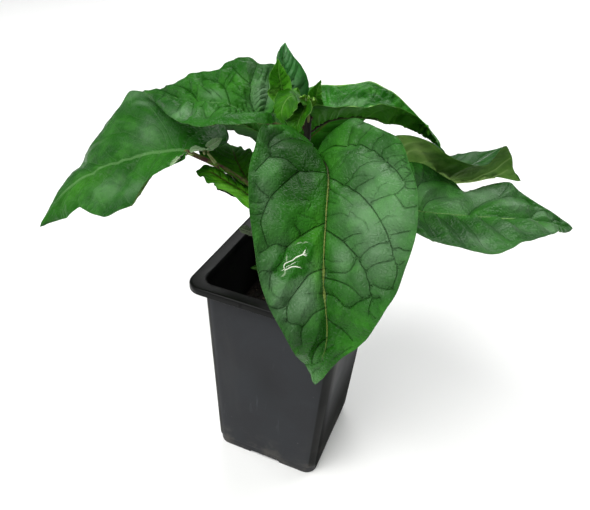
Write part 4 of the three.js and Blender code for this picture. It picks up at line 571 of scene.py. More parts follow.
        "ripple": [0.25, 3.2],
        "count": 5,
    },
    "J2": {
        "name": "tip_leaf_drooping",
        "size": "tiny",
        "slot": "leaf_young_bright",
        "mat": "tip_dark",
        "r": 0.55,
        "stalk": [[0.0, 0.0, 210.5], [1.2, -3.6, 216.0]],
        "mid": [[0.41, -7.2, 221.35], [0.37, -8.63, 219.6], [0.1, -10.31, 217.9], [-0.24, -11.77, 215.89], [-0.19, -13.02, 213.58], [0.26, -13.46, 210.78]],
        "up": [0.0, -0.5145, 0.8575],
        "roll": [0.244, 0.211, 0.126, 0.048],
        "wl": [4.02, 5.41, 6.78, 7.77, 7.75, 6.69, 5.22, 3.61, 2.15, 0.99, 0.0],
        "wr": [3.89, 5.36, 6.92, 7.86, 7.83, 6.95, 5.46, 3.73, 2.17, 0.97, 0.0],
        "fl": [0.586, 0.601, 0.561, 0.483],
        "fr": [0.211, 0.352, 0.415, 0.4],
        "cl": [-0.123, -0.207, -0.336, -0.287],
        "cr": [-0.353, -0.377, -0.438, -0.346],
        "cell": 1.6,
        "net": 1.5,
        "quilt": 1.2,
        "ripple": [0.3, 3.4],
        "count": 5,
    },
    "J3": {
        "name": "tip_leaf_crinkled",
        "size": "tiny",
        "slot": "leaf_young_bright",
        "mat": "crinkled",
        "r": 0.55,
        "stalk": [[0.0, 0.0, 212.5], [-0.2, 0.4, 215.0]],
        "mid": [[-1.0, 1.31, 217.92], [-0.9, -0.36, 219.19], [-0.93, -1.94, 220.61], [-0.74, -3.34, 222.18], [-0.55, -4.6, 223.86], [-0.62, -5.7, 225.83]],
        "up": [0.0967, -0.8701, 0.4834],
        "roll": [0.081, 0.053, 0.042, 0.046],
        "wl": [2.91, 3.92, 4.8, 5.2, 4.98, 4.35, 3.47, 2.45, 1.48, 0.68, 0.0],
        "wr": [2.74, 3.78, 4.68, 5.07, 4.9, 4.36, 3.52, 2.5, 1.51, 0.69, 0.0],
        "fl": [0.227, 0.241, 0.29, 0.323],
        "fr": [0.113, 0.157, 0.2, 0.219],
        "cl": [-0.447, -0.643, -0.613, -0.393],
        "cr": [-0.528, -0.704, -0.668, -0.452],
        "cell": 1.3,
        "net": 2.2,
        "quilt": 1.6,
        "ripple": [0.4, 2.4],
        "count": 5,
        "puff": 1.8,
    },
    "E1": {
        "name": "leaf_back_left",
        "size": "",
        "slot": "leaf_shaded",
        "mat": "shaded",
        "r": 1.0,
        "stalk": [[0.0, 0.0, 175.0], [-9.0, 9.0, 178.5], [-18.0, 20.0, 181.0]],
        "mid": [[-24.76, 29.19, 182.73], [-32.21, 28.72, 185.46], [-38.63, 27.59, 187.71], [-44.66, 26.97, 189.77], [-52.51, 27.51, 191.66], [-63.41, 26.14, 194.56]],
        "up": [0.0, -0.1961, 0.9806],
        "roll": [0.151, 0.117, 0.014, -0.101],
        "wl": [12.6, 17.08, 21.04, 22.76, 21.67, 17.38, 13.35, 9.59, 5.83, 2.68, 0.0],
        "wr": [12.31, 16.56, 20.32, 22.51, 22.49, 19.38, 15.1, 10.16, 5.84, 2.59, 0.0],
        "fl": [0.367, 0.39, 0.248, 0.008],
        "fr": [0.151, 0.283, 0.395, 0.323],
        "cl": [-0.215, -0.203, -0.291, -0.416],
        "cr": [-0.321, -0.25, -0.181, -0.227],
        "cell": 3.6,
        "quilt": 1.2,
        "net": 1.0,
        "ripple": [0.8, 9.0],
    },
    "E2": {
        "name": "leaf_inner_left",
        "size": "",
        "slot": "leaf_shaded",
        "mat": "inner",
        "r": 0.9,
        "stalk": [[0.0, 0.0, 158.0], [-11.0, 1.5, 163.5], [-21.0, 1.0, 168.0]],
        "mid": [[-29.69, -0.4, 170.17], [-34.43, 4.48, 172.0], [-39.33, 7.79, 174.77], [-43.88, 11.65, 177.34], [-48.13, 16.65, 178.89], [-51.87, 22.15, 179.21]],
        "up": [0.1849, -0.6472, 0.7396],
        "roll": [0.384, 0.284, 0.149, 0.148],
        "wl": [8.21, 11.51, 15.1, 18.33, 22.23, 24.57, 19.99, 12.73, 6.25, 2.43, 0.0],
        "wr": [9.23, 11.61, 13.42, 14.57, 16.89, 16.29, 12.96, 9.09, 5.57, 2.57, 0.0],
        "fl": [0.603, 0.456, 0.353, 0.372],
        "fr": [-0.144, -0.113, -0.086, -0.069],
        "cl": [0.142, 0.014, -0.066, -0.066],
        "cr": [-0.462, -0.43, -0.399, -0.38],
        "cell": 2.6,
        "quilt": 1.6,
        "net": 1.6,
        "ripple": [0.9, 7.0],
    },
    "L": {
        "name": "leaf_back",
        "size": "",
        "slot": "leaf_shaded",
        "mat": "deepest",
        "r": 1.0,
        "stalk": [[0.0, 0.0, 175.0], [-5.5, 14.0, 177.5], [-12.0, 28.5, 179.8]],
        "mid": [[-17.2, 40.2, 180.6], [-11.34, 46.44, 186.65], [-6.55, 54.28, 191.48], [-3.96, 64.34, 192.48], [-0.97, 74.34, 192.93], [4.6, 82.99, 194.82]],
        "up": [0.0, -0.0995, 0.995],
        "roll": [-0.083, -0.066, 0.079, 0.03],
        "wl": [15.22, 18.57, 20.62, 20.68, 20.64, 18.88, 16.35, 12.49, 7.57, 3.42, 0.0],
        "wr": [15.19, 18.65, 21.04, 19.34, 18.25, 15.64, 14.76, 13.1, 9.53, 4.12, 0.0],
        "fl": [0.002, 0.082, 0.286, 0.201],
        "fr": [0.075, 0.106, 0.052, 0.084],
        "cl": [-0.418, -0.37, -0.255, -0.297],
        "cr": [-0.382, -0.373, -0.379, -0.342],
        "cell": 4.0,
        "ripple": [0.6, 10.0],
    },
    "D2": {
        "name": "leaf_low_left_small",
        "size": "tiny",
        "slot": "leaf_shaded",
        "mat": "shaded",
        "r": 0.7,
        "stalk": [[0.0, 0.0, 150.5], [-13.0, 0.5, 156.5], [-25.0, 2.0, 161.0]],
        "mid": [[-35.07, 1.82, 163.32], [-37.76, 0.09, 164.36], [-40.07, -1.46, 165.53], [-42.58, -2.38, 166.29], [-45.33, -3.05, 166.75], [-48.99, -3.9, 167.61]],
        "up": [0.0, -0.1961, 0.9806],
        "roll": [0.038, 0.121, 0.024, -0.069],
        "wl": [4.36, 5.95, 7.44, 8.33, 8.07, 6.87, 5.25, 3.51, 2.0, 0.89, 0.0],
        "wr": [4.39, 5.91, 7.25, 7.97, 7.85, 6.81, 5.27, 3.56, 2.05, 0.91, 0.0],
        "fl": [0.158, 0.244, 0.243, 0.183],
        "fr": [0.121, 0.141, 0.3, 0.359],
        "cl": [-0.28, -0.234, -0.235, -0.266],
        "cr": [-0.306, -0.295, -0.209, -0.177],
        "cell": 2.6,
        "ripple": [0.4, 6.0],
        "count": 5,
    },
    "S1": {
        "name": "side_shoot_leaf_a",
        "size": "tiny",
        "slot": "leaf_downy_pale",
        "mat": "downy",
        "r": 0.4,
        "stalk": [[-49.8, -7.6, 187.2], [-50.0, -7.3, 188.6]],
        "mid": [[-50.13, -7.11, 189.55], [-48.85, -6.44, 190.42], [-47.71, -5.73, 191.33], [-46.66, -4.85, 192.27], [-45.5, -3.9, 193.2], [-44.1, -2.81, 194.14]],
        "up": [0.1005, -0.7035, 0.7035],
        "roll": [-0.14, -0.114, -0.035, 0.009],
        "wl": [1.84, 2.49, 3.08, 3.41, 3.32, 2.84, 2.25, 1.56, 0.92, 0.41, 0.0],
        "wr": [1.8, 2.44, 3.09, 3.51, 3.5, 3.02, 2.32, 1.57, 0.91, 0.4, 0.0],
        "fl": [0.09, 0.094, 0.199, 0.275],
        "fr": [0.321, 0.258, 0.231, 0.225],
        "cl": [-0.228, -0.227, -0.162, -0.119],
        "cr": [-0.095, -0.124, -0.136, -0.138],
        "cell": 1.1,
        "ripple": [0.12, 2.4],
        "count": 4,
    },
    "S2": {
        "name": "side_shoot_leaf_b",
        "size": "tiny",
        "slot": "leaf_downy_pale",
        "mat": "downy",
        "r": 0.4,
        "stalk": [[-50.4, -10.2, 187.2], [-49.4, -12.8, 189.4]],
        "mid": [[-50.52, -8.84, 189.0], [-50.81, -11.29, 190.0], [-51.46, -13.3, 190.8], [-52.39, -14.91, 191.0], [-53.28, -16.28, 190.8], [-54.19, -17.49, 190.0]],
        "up": [-0.0995, -0.597, 0.796],
        "roll": [0.0, 0.0, 0.0, 0.0],
        "wl": [1.65, 2.05, 2.38, 2.54, 2.54, 2.44, 2.18, 1.78, 1.25, 0.66, 0.0],
        "wr": [1.65, 2.05, 2.38, 2.54, 2.54, 2.44, 2.18, 1.78, 1.25, 0.66, 0.0],
        "fl": [0.3, 0.3, 0.3, 0.3],
        "fr": [0.3, 0.3, 0.3, 0.3],
        "cl": [-0.1, -0.1, -0.1, -0.1],
        "cr": [-0.1, -0.1, -0.1, -0.1],
        "cell": 1.1,
        "ripple": [0.15, 2.2],
        "count": 4,
    },
    "S3": {
        "name": "side_shoot_strip",
        "size": "tiny",
        "slot": "leaf_downy_pale",
        "mat": "downy",
        "r": 0.4,
        "stalk": [[-55.0, -13.5, 186.5]],
        "mid": [[-58.03, -15.23, 188.0], [-57.06, -19.57, 188.97], [-56.18, -23.74, 189.7], [-55.39, -27.66, 190.04], [-55.54, -30.49, 189.54], [-56.29, -32.64, 188.5]],
        "up": [-0.1849, -0.6472, 0.7396],
        "roll": [0.0, 0.0, 0.0, 0.0],
        "wl": [1.1, 1.24, 1.4, 1.56, 1.7, 1.8, 1.7, 1.5, 1.1, 0.6, 0.0],
        "wr": [1.1, 1.24, 1.4, 1.56, 1.7, 1.8, 1.7, 1.5, 1.1, 0.6, 0.0],
        "fl": [0.3, 0.3, 0.3, 0.3],
        "fr": [0.3, 0.3, 0.3, 0.3],
        "cl": [0.0, 0.0, 0.0, 0.0],
        "cr": [0.0, 0.0, 0.0, 0.0],
        "cell": 1.2,
        "ripple": [0.25, 4.0],
        "count": 4,
    },
    "W1": {
        "name": "low_leaf_grey",
        "size": "tiny",
        "slot": "leaf_downy_pale",
        "mat": "grey",
        "r": 0.7,
        "stalk": [[0.0, 0.0, 126.0], [-12.0, 1.5, 130.0], [-24.0, 3.0, 133.0]],
        "mid": [[-31.57, 11.09, 134.0], [-32.63, 9.32, 135.27], [-33.95, 7.93, 136.29], [-35.67, 7.12, 136.91], [-37.75, 7.32, 136.91], [-40.05, 8.16, 136.5]],
        "up": [-0.0967, -0.4834, 0.8701],
        "roll": [0.0, 0.0, 0.0, 0.0],
        "wl": [2.0, 2.75, 3.45, 3.85, 3.75, 3.2, 2.45, 1.65, 0.95, 0.42, 0.0],
        "wr": [2.0, 2.75, 3.45, 3.85, 3.75, 3.2, 2.45, 1.65, 0.95, 0.42, 0.0],
        "fl": [0.2, 0.2, 0.2, 0.2],
        "fr": [0.2, 0.2, 0.2, 0.2],
        "cl": [-0.2, -0.2, -0.2, -0.2],
        "cr": [-0.2, -0.2, -0.2, -0.2],
        "cell": 1.8,
        "ripple": [0.3, 4.0],
        "count": 5,
    },
    "W2": {
        "name": "low_leaf_green",
        "size": "tiny",
        "slot": "leaf_young_bright",
        "mat": "low_dark",
        "r": 0.6,
        "stalk": [[0.0, 0.0, 108.0], [-9.0, -2.0, 112.0]],
        "mid": [[-21.71, 4.92, 115.0], [-23.06, 3.6, 115.95], [-24.36, 2.38, 116.72], [-25.58, 1.32, 117.2], [-26.81, 0.46, 117.36], [-28.05, -0.27, 117.3]],
        "up": [-0.0995, -0.597, 0.796],
        "roll": [0.0, 0.0, 0.0, 0.0],
        "wl": [1.2, 1.65, 2.07, 2.31, 2.25, 1.92, 1.47, 0.99, 0.57, 0.25, 0.0],
        "wr": [1.2, 1.65, 2.07, 2.31, 2.25, 1.92, 1.47, 0.99, 0.57, 0.25, 0.0],
        "fl": [0.3, 0.3, 0.3, 0.3],
        "fr": [0.3, 0.3, 0.3, 0.3],
        "cl": [-0.2, -0.2, -0.2, -0.2],
        "cr": [-0.2, -0.2, -0.2, -0.2],
        "cell": 1.6,
        "ripple": [0.2, 3.5],
        "count": 5,
    },
}


# ---------------------------------------------------------------- leaves
# A leaf is a midrib curve with rays that sweep out from it to both margins. The rays turn towards
# the tip on their way out, and each half blade folds up from the midrib and curls.
U_WIDTH = [0, 0.05, 0.12, 0.22, 0.34, 0.48, 0.62, 0.75, 0.86, 0.94, 1.0]
U_RAY = [0, 0.06, 0.14, 0.25, 0.40, 0.60, 0.80, 1.0]
RAY = np.radians([-62, -42, -18, 4, 18, 27, 33, 38])
RAY_TURN = np.radians([48, 44, 36, 26, 20, 16, 14, 12])
U_BEND = [0, 0.33, 0.66, 1.0]


def frame_on(L, u):
    um = np.linspace(0, 1, len(L["mid"]))
    mid = np.asarray(L["mid"], float)
    c = spline(um, mid, u)
    t = unit(spline(um, mid, np.clip(u + 1e-3, 0, 1)) - spline(um, mid, np.clip(u - 1e-3, 0, 1)))
    up = np.asarray(L["up"], float)
    n = unit(up - (t @ up)[:, None] * t)
    b = np.cross(t, n)
    r = spline(U_BEND, L["roll"], u)
    cr, sr = np.cos(r)[:, None], np.sin(r)[:, None]
    return c, t, cr * n + sr * b, cr * b - sr * n


def plain_blade(L, u, v, steps=12):
    c, t, n, b = frame_on(L, u)
    ray = spline(U_RAY, RAY, u)
    turn = spline(U_RAY, RAY_TURN, u)
    s = np.where(v < 0, -1.0, 1.0)
    a = np.abs(v)
    w = np.where(v[None, :] < 0, spline(U_WIDTH, L["wl"], u)[:, None], spline(U_WIDTH, L["wr"], u)[:, None])
    w = np.maximum(w, 0.02)
    fold = np.where(v[None, :] < 0, spline(U_BEND, L["fl"], u)[:, None], spline(U_BEND, L["fr"], u)[:, None])
    curl = np.where(v[None, :] < 0, spline(U_BEND, L["cl"], u)[:, None], spline(U_BEND, L["cr"], u)[:, None])
    p = np.repeat(c[:, None, :], len(v), axis=1)
    for i in range(steps):
        x = (i + 0.5) / steps * a
        ps = ray[:, None] + turn[:, None] * x[None, :]
        th = fold + curl * x[None, :]
        d = (np.cos(th) * np.cos(ps) * s[None, :])[..., None] * b[:, None, :]
        d = d + (np.cos(th) * np.sin(ps))[..., None] * t[:, None, :]
        d = d + np.sin(th)[..., None] * n[:, None, :]
        p = p + d * (w * a[None, :] / steps)[..., None]
    return p, c, t, n, b, w


def blade(L, u, v):
    """The blade's middle sheet, with the small corrections of its outline: el and er shift the two
    margins along and out, at even stations; zl and zr shift the basal edges."""
    p, c, t, n, b, w = plain_blade(L, u, v)
    e = 1e-3
    for s, margin, base in ((-1.0, "el", "zl"), (1.0, "er", "zr")):
        m = v * s > 0
        if margin not in L:
            continue
        off = spline(np.linspace(0, 1, len(L[margin])), L[margin], u)
        q = plain_blade(L, u, np.array([s * 0.995, s]))[0]
        out = unit(q[:, 1] - q[:, 0])
        edge = np.array([s])
        along = unit(plain_blade(L, np.clip(u + e, 0, 1), edge)[0][:, 0] - plain_blade(L, np.clip(u - e, 0, 1), edge)[0][:, 0])
        d = off[:, :1] * along + off[:, 1:] * out
        p[:, m] += (v[m] ** 2)[None, :, None] * d[:, None, :]
        if base in L:
            z = spline(np.linspace(0, 1, len(L[base])), L[base], np.abs(v[m]))
            r = plain_blade(L, np.array([0.0, 0.004]), v[m])[0]
            du = unit(r[1] - r[0])
            dv = unit(plain_blade(L, np.array([0.0]), np.clip(v[m] + s * 0.004, -1, 1))[0][0] - plain_blade(L, np.array([0.0]), v[m] - s * 0.004)[0][0])
            p[:, m] += np.exp(-((u / 0.05) ** 2))[:, None, None] * (z[:, :1] * du + z[:, 1:] * dv)[None]
    return p, c, t, n, b, w


def tube(points, radii, sides=12, per_mm=1.6, groove=0.0):
    """A round tube with closed ends: vertices, faces, and each vertex's share of the way along."""
    points = np.asarray(points, float)
    gap = np.r_[0, np.cumsum(np.linalg.norm(np.diff(points, axis=0), axis=1) ** 0.5)]
    gap /= gap[-1]
    length = np.linalg.norm(np.diff(points, axis=0), axis=1).sum()
    n = max(5, int(length * per_mm))
    x = np.linspace(0, 1, n)
    path = spline(gap, points, x) if len(points) > 2 else points[0] + (points[1] - points[0]) * x[:, None]
    r = np.interp(x, gap, radii)
    t = unit(np.gradient(path, axis=0))
    e1 = unit(np.cross(t[0], [0, 0, 1.0]) if abs(t[0][2]) < 0.95 else np.cross(t[0], [1.0, 0, 0]))
    verts = []
    ang = np.arange(sides) / sides * 2 * np.pi
    for i in range(n):
        e1 = unit(e1 - (e1 @ t[i]) * t[i])
        e2 = np.cross(t[i], e1)
        verts.append(path[i] + r[i] * (np.cos(ang)[:, None] * e1 + np.sin(ang)[:, None] * e2))
    verts = np.concatenate(verts)
    faces = []
    for i in range(n - 1):
        for j in range(sides):
            a, b2 = i * sides + j, i * sides + (j + 1) % sides
            faces.append((a, b2, b2 + sides, a + sides))
    lo, hi = len(verts), len(verts) + 1
    verts = np.vstack([verts, path[0] - t[0] * r[0] * 0.4, path[-1] + t[-1] * r[-1] * 0.5])
    for j in range(sides):
        k = (j + 1) % sides
        faces.append((lo, k, j))
        faces.append((hi, (n - 1) * sides + j, (n - 1) * sides + k))
    gone = np.r_[0, np.cumsum(np.linalg.norm(np.diff(path, axis=0), axis=1))]
    along = np.r_[np.repeat(gone / gone[-1], sides), 0, 1]
    return verts, faces, along


def default_veins(seed, count=6, first=0.05, last=0.74):
    """Side veins on both halves, bowed towards the tip."""
    rng = np.random.RandomState(seed)
    out = []
    for side in (-1, 1):
        for i in range(count):
            u0 = first + (last - first) * ((i + 0.35 * (side > 0) + 0.2 * rng.rand()) / (count - 0.4)) ** 0.95
            x = np.linspace(0, 1, 7)
            sweep = 0.10 + 0.05 * rng.rand() - 0.08 * (i == 0)
            wob = (rng.rand(7) - 0.5) * 0.015
            wob[0] = 0
            out.append([(float(np.clip(u0 + sweep * t**1.7 + wb, 0.004, 0.985)), float(side * 0.93 * t)) for t, wb in zip(x, wob)])
    return out


def make_leaf(key):
    L = LEAVES[key]
    seed = sum(ord(c) for c in key) * 13
    dense = {"huge": (250, 93), "big": (170, 58), "": (94, 33), "tiny": (58, 22)}[L["size"]]
    nu, nh = int(dense[0] * FINE), int(dense[1] * FINE)
    x = np.linspace(0, 1, nu)
    u = 0.75 * x + 0.25 * (0.5 - 0.5 * np.cos(np.pi * x))
    half = np.linspace(0, 1, nh) ** 1.3
    half = np.r_[half[:-1], 1 - 0.25 * (half[-1] - half[-2]), 1.0]
    v = np.r_[-half[:0:-1], half]
    nv = len(v)
    P, c, t, n, b, w = blade(L, u, v)
    flat = P.reshape(-1, 3)
    U = np.repeat(u, nv)
    Vv = np.tile(v, nu)
    A = np.abs(Vv)
    span_mm = float(np.linalg.norm(np.diff(c, axis=0), axis=1).sum())
    size = span_mm / 100.0
    du = np.gradient(P, axis=0)
    dv = np.gradient(P, axis=1)
    N = unit(np.cross(dv, du))
    if (N[nu // 2, nv // 2] @ n[nu // 2]) < 0:
        N = -N
    N[-1] = N[-2]
    N = N.reshape(-1, 3)

    def at(uq, vq):
        fu = np.interp(uq, u, np.arange(nu))
        fv = np.interp(vq, v, np.arange(nv))
        i = np.clip(fu.astype(int), 0, nu - 2)
        j = np.clip(fv.astype(int), 0, nv - 2)
        a, d = (fu - i)[:, None], (fv - j)[:, None]
        return (1 - a) * ((1 - d) * P[i, j] + d * P[i, j + 1]) + a * ((1 - d) * P[i + 1, j] + d * P[i + 1, j + 1])

    def sample(lines, every=0.4):
        """Points along lines given in leaf coordinates, how far along each is, and the line's direction."""
        pts, way, tan = [], [], []
        for line in lines:
            q = np.asarray(line, float)
            k = np.r_[0, np.cumsum(np.linalg.norm(np.diff(at(q[:, 0], q[:, 1]), axis=0), axis=1))]
            m = max(4, int(k[-1] / every))
            s = np.linspace(0, k[-1], m)
            uq = spline(k, q[:, 0], s) if len(q) > 2 else np.interp(s, k, q[:, 0])
            vq = spline(k, q[:, 1], s) if len(q) > 2 else np.interp(s, k, q[:, 1])
            pts.append(at(np.clip(uq, 0.002, 0.998), np.clip(vq, -1, 1)))
            way.append(s / k[-1])
            tan.append(unit(np.gradient(pts[-1], axis=0)))
        return np.vstack(pts), np.concatenate(way), np.vstack(tan)

    def beside(pts, tan):
        """Distance to the nearest line, -1 or 1 for the side of it, and which point is nearest."""
        d, k = near(flat, pts)
        gap = flat - pts[k]
        across = (gap * np.cross(N, tan[k])).sum(1)
        along = np.abs((gap * tan[k]).sum(1))
        return np.where(along < 0.35, np.abs(across), d[:, 0]), np.where(across < 0, -1.0, 1.0), k

    rib = spline(np.linspace(0, 1, len(L["mid"])), np.asarray(L["mid"], float), np.linspace(0, 1, 400))
    d_mid, side_mid, _ = beside(rib, unit(np.gradient(rib, axis=0)))
    side_veins = [q for q in L.get("veins", [])] + (default_veins(seed, L.get("count", 6)) if L.get("auto", True) else [])
    for side in L.get("auto_sides", []):
        side_veins += [q for q in default_veins(seed, L.get("count", 6)) if np.sign(q[-1][1]) == side]
    sp, sw, st = sample(side_veins)
    d_sec, side_sec, k = beside(sp, st)
    s_taper = 1 - 0.65 * sw[k]
    d_ter = d_soft = np.full(len(flat), 99.0)
    side_ter = side_soft = np.ones(len(flat))
    if L.get("cross"):
        tp, _, tt = sample(L["cross"])
        d_ter, side_ter, _ = beside(tp, tt)
    if L.get("soft"):
        tp, _, tt = sample(L["soft"])
        d_soft, side_soft, _ = beside(tp, tt)

    # the net of small veins: cells drawn out from one side vein to the next
    cell = L.get("cell", 5.0)
    longer = L.get("longer", 1.9)
    ww = np.tile((w * np.abs(v)[None, :] * np.sign(v)[None, :]).ravel(), 1)
    sheet = np.stack([U * span_mm / longer, ww], 1)
    warp = np.stack([layered(flat, cell * 1.7, seed + 5, 2), layered(flat, cell * 1.7, seed + 9, 2)], 1)
    sheet = sheet + warp * cell * 0.22
    rng = np.random.RandomState(seed + 3)
    gx = np.arange(sheet[:, 0].min() - cell, sheet[:, 0].max() + cell, cell)
    gy = np.arange(sheet[:, 1].min() - cell, sheet[:, 1].max() + cell, cell)
    seeds = np.stack(np.meshgrid(gx, gy, indexing="ij"), -1).reshape(-1, 2)
    seeds = seeds + (rng.rand(*seeds.shape) - 0.5) * cell * 0.85
    f, _ = near(sheet, seeds, 2)
    border = (f[:, 1] - f[:, 0]) / 2

    quilt = L.get("quilt", 1.0)
    puff = L.get("puff", 1.0)
    d_vein = np.minimum(d_mid, d_sec)
    edge = step(0.80, 1.0, A)
    open_mid = step(0, 5 * size + 1, d_vein)  # how clear of the strong veins
    h = np.zeros(len(flat))
    h += puff * 1.5 * size * (1 - np.exp(-((d_vein / (5.0 * size + 0.6)) ** 2))) * (1 - 0.55 * edge)
    h -= 0.85 * size**0.6 * L.get("mid_groove", 1.0) * np.exp(-((d_mid / (1.35 * size**0.5)) ** 2)) * (1 - 0.5 * U)
    h += L.get("rib_up", 0.42) * size**0.6 * np.exp(-((d_mid / (0.5 * size**0.5)) ** 2)) * (1 - 0.6 * U)
    h -= 0.62 * size**0.5 * L.get("groove", 1.0) * (0.3 + 0.7 * s_taper) * np.exp(-d_sec / (L.get("groove_wide", 1.3) * size**0.4)) * (0.3 + 0.7 * step(0.4 * size, 3.5 * size, d_mid))
    net = L.get("net", 1.0)
    net_w = 0.30 * min(cell, 5.0) * 0.36
    h += net * 0.16 * quilt * (1 - np.exp(-((border / (0.26 * cell)) ** 2))) * (0.35 + 0.65 * open_mid) * (cell / 5.0) * (0.6 + 0.8 * edge) * 1.6
    h -= 0.42 * quilt * np.exp(-d_ter / 1.0) + 0.22 * quilt * np.exp(-d_soft / 0.9)
    h += 0.45 * quilt * (1 - np.exp(-((d_ter / 3.2) ** 2))) * (d_ter < 50)
    # keep the outline where it is: the margins stay at the height of the middle sheet
    rows = h.reshape(nu, nv)
    rows -= step(0.55, 1.0, np.abs(v))[None, :] * np.where(v[None, :] < 0, rows[:, :1], rows[:, -1:])
    h = rows.ravel()
    h += L.get("wave", 1.0) * (0.9 * size * layered(flat, 26 * size + 3, seed + 1, 2) + 0.16 * size**0.5 * layered(flat, 5 * size + 1.2, seed + 2, 2) * (0.25 + 0.75 * step(0, 5 * size, d_mid)))
    ripple, pitch = L.get("ripple", (0.5, 11.0))
    turns = U * span_mm / pitch + 0.35 * layered(flat, 30 * size + 3, seed + 4, 2)
    h += ripple * (A**4) * np.sin(2 * np.pi * turns + np.where(Vv > 0, 1.7, 0.0)) * step(0.0, 0.12, U) * step(1.0, 0.9, U)
    for (uc, vc, su, sv, amount) in L.get("dents", []):
        h += amount * np.exp(-(((U - uc) / su) ** 2) - ((Vv - vc) / sv) ** 2)

    # the two faces of the blade: thinner at the margin and the ends, with the relief closing to nothing at the tip
    thick = 0.42 * size**0.35
    rim = 1 - 0.72 * np.maximum(step(0.93, 1.0, A), np.maximum(step(0.03, 0.0, U), step(0.975, 1.0, U)))
    closing = step(1.0, 0.97, U)
    top = flat + N * (h * closing + thick / 2 * rim)[:, None]
    ridge = 0.5 * size**0.5 * s_taper * np.exp(-((d_sec / (0.62 * size**0.4)) ** 2)) + 0.14 * net * np.exp(-((border / net_w) ** 2)) * open_mid
    ridge += 0.25 * np.exp(-((d_ter / 0.6) ** 2))
    ridge *= 1 - step(0.9, 1.0, A)
    under = flat + N * (h * closing - thick / 2 * rim - ridge * closing)[:, None]

    verts = np.vstack([top, under])
    m = nu * nv
    i, j = np.meshgrid(np.arange(nu - 1), np.arange(nv - 1), indexing="ij")
    a = (i * nv + j).ravel()
    flip = np.cross(dv[nu // 2, nv // 2], du[nu // 2, nv // 2]) @ n[nu // 2] < 0
    q1 = np.stack([a, a + 1, a + nv + 1, a + nv], 1)
    q1 = q1 if not flip else q1[:, ::-1]
    faces = np.vstack([q1, q1[:, ::-1] + m]).tolist()
    loop = [(0, x) for x in range(nv)] + [(y, nv - 1) for y in range(1, nu)] + [(nu - 1, x) for x in range(nv - 2, -1, -1)] + [(y, 0) for y in range(nu - 2, 0, -1)]
    loop = [y * nv + x for y, x in loop]
    for s in range(len(loop)):
        p, q = loop[s], loop[(s + 1) % len(loop)]
        faces.append((q, p, p + m, q + m) if not flip else (p, q, q + m, p + m))

    r = L["r"]
    path = [list(p) for p in L["stalk"]]
    radii = [r * 1.35] + [r * 1.03] * (len(path) - 1)
    uu = np.r_[0.0, np.linspace(0.03, 0.80, 70 if L["size"] in ("huge", "big") else 30)]
    cc, _, nn, _ = frame_on(L, uu)
    low = h.reshape(nu, nv)[:, nv // 2]  # the tube keeps below the sheet's own waves and grooves
    down = np.array([low[np.abs(u - q) < 1.6 / nu].min() for q in uu])
    for q in range(len(uu)):
        rr = (r * (1 - uu[q]) ** 0.75 * 0.92 + 0.08) * (1.0 if q else 1.05)
        sink = 0.35 * r if q == 0 else rr + 0.08 - down[q]
        path.append(list(cc[q] - nn[q] * sink))
        radii.append(rr)
    tv, tf, along = tube(path, radii, 14 if L["size"] in ("huge", "big") else 10, 1.5 if L["size"] in ("huge", "big") else 2.4)
    sway = layered(tv, 6, seed + 8, 2)
    base = len(verts)
    faces += [tuple(q + base for q in f) for f in tf]
    verts = np.vstack([verts, tv])
    stalk_len = np.linalg.norm(np.diff(np.asarray(path, float)[: len(L["stalk"]) + 1], axis=0), axis=1).sum()
    total = np.linalg.norm(np.diff(np.asarray(path, float), axis=0), axis=1).sum()

    zero = np.zeros(len(tv))
    both = lambda x, y: np.concatenate([x, x if y is None else y, zero])
    mid_mask = np.exp(-((d_mid / (L.get("rib_wide", 0.85) * size**0.5 * (1 - 0.35 * U))) ** 2)) * step(1.0, 0.8, U)
    sec_mask = np.maximum(np.exp(-((d_sec / (L.get("vein_wide", 0.5) * size**0.4)) ** 2)) * (0.35 + 0.65 * s_taper), 0.85 * np.exp(-((d_ter / 0.42) ** 2)))
    sec_mask = np.maximum(sec_mask, 0.45 * np.exp(-((d_soft / 0.45) ** 2)))
    ter_mask = np.exp(-((border / net_w) ** 2)) * open_mid
    # signed distances, in line widths, so that the veins stay sharp between the vertices
    q_sec = d_sec / (L.get("vein_wide", 0.5) * size**0.4 * (0.5 + 0.5 * s_taper))
    q_ter = d_ter / (0.9 * L.get("vein_wide", 0.5) * size**0.4)
    line = np.where(q_ter < q_sec, q_ter * side_ter, q_sec * side_sec)
    q_mid = d_mid / (L.get("rib_wide", 0.85) * size**0.5 * (1 - 0.45 * U))
    far = np.full(len(flat), 9.0)
    strength = np.where(q_ter < q_sec, 0.6, 0.55 + 0.45 * s_taper)
    marks = {
        "drawn": both(strength * step(4.5, 2.5, np.abs(line)), np.zeros(m)),
        "line": both(np.clip(line, -9, 9), far),
        "faint": both(np.clip(d_soft * side_soft / 0.5, -9, 9), far),
        "faint_near": both(step(3.0, 1.5, d_soft), np.zeros(m)),
        "rib": both(np.clip(q_mid * side_mid, -9, 9), far),
        "mid": both(mid_mask, None),
        "sec": both(sec_mask, None),
        "net": both(ter_mask, None),
        "lift": both(h, None),
        "top": np.concatenate([np.ones(m), np.zeros(m), zero]),
        "uu": np.concatenate([U, U, np.clip((along * total - stalk_len) / max(total - stalk_len, 1), -1, 1) * 0.8 * 0.35 / L.get("stalk_far", 0.35)]),
        "vv": both(A, None),
        "stalk": np.concatenate([np.zeros(2 * m), np.ones(len(tv))]),
    }
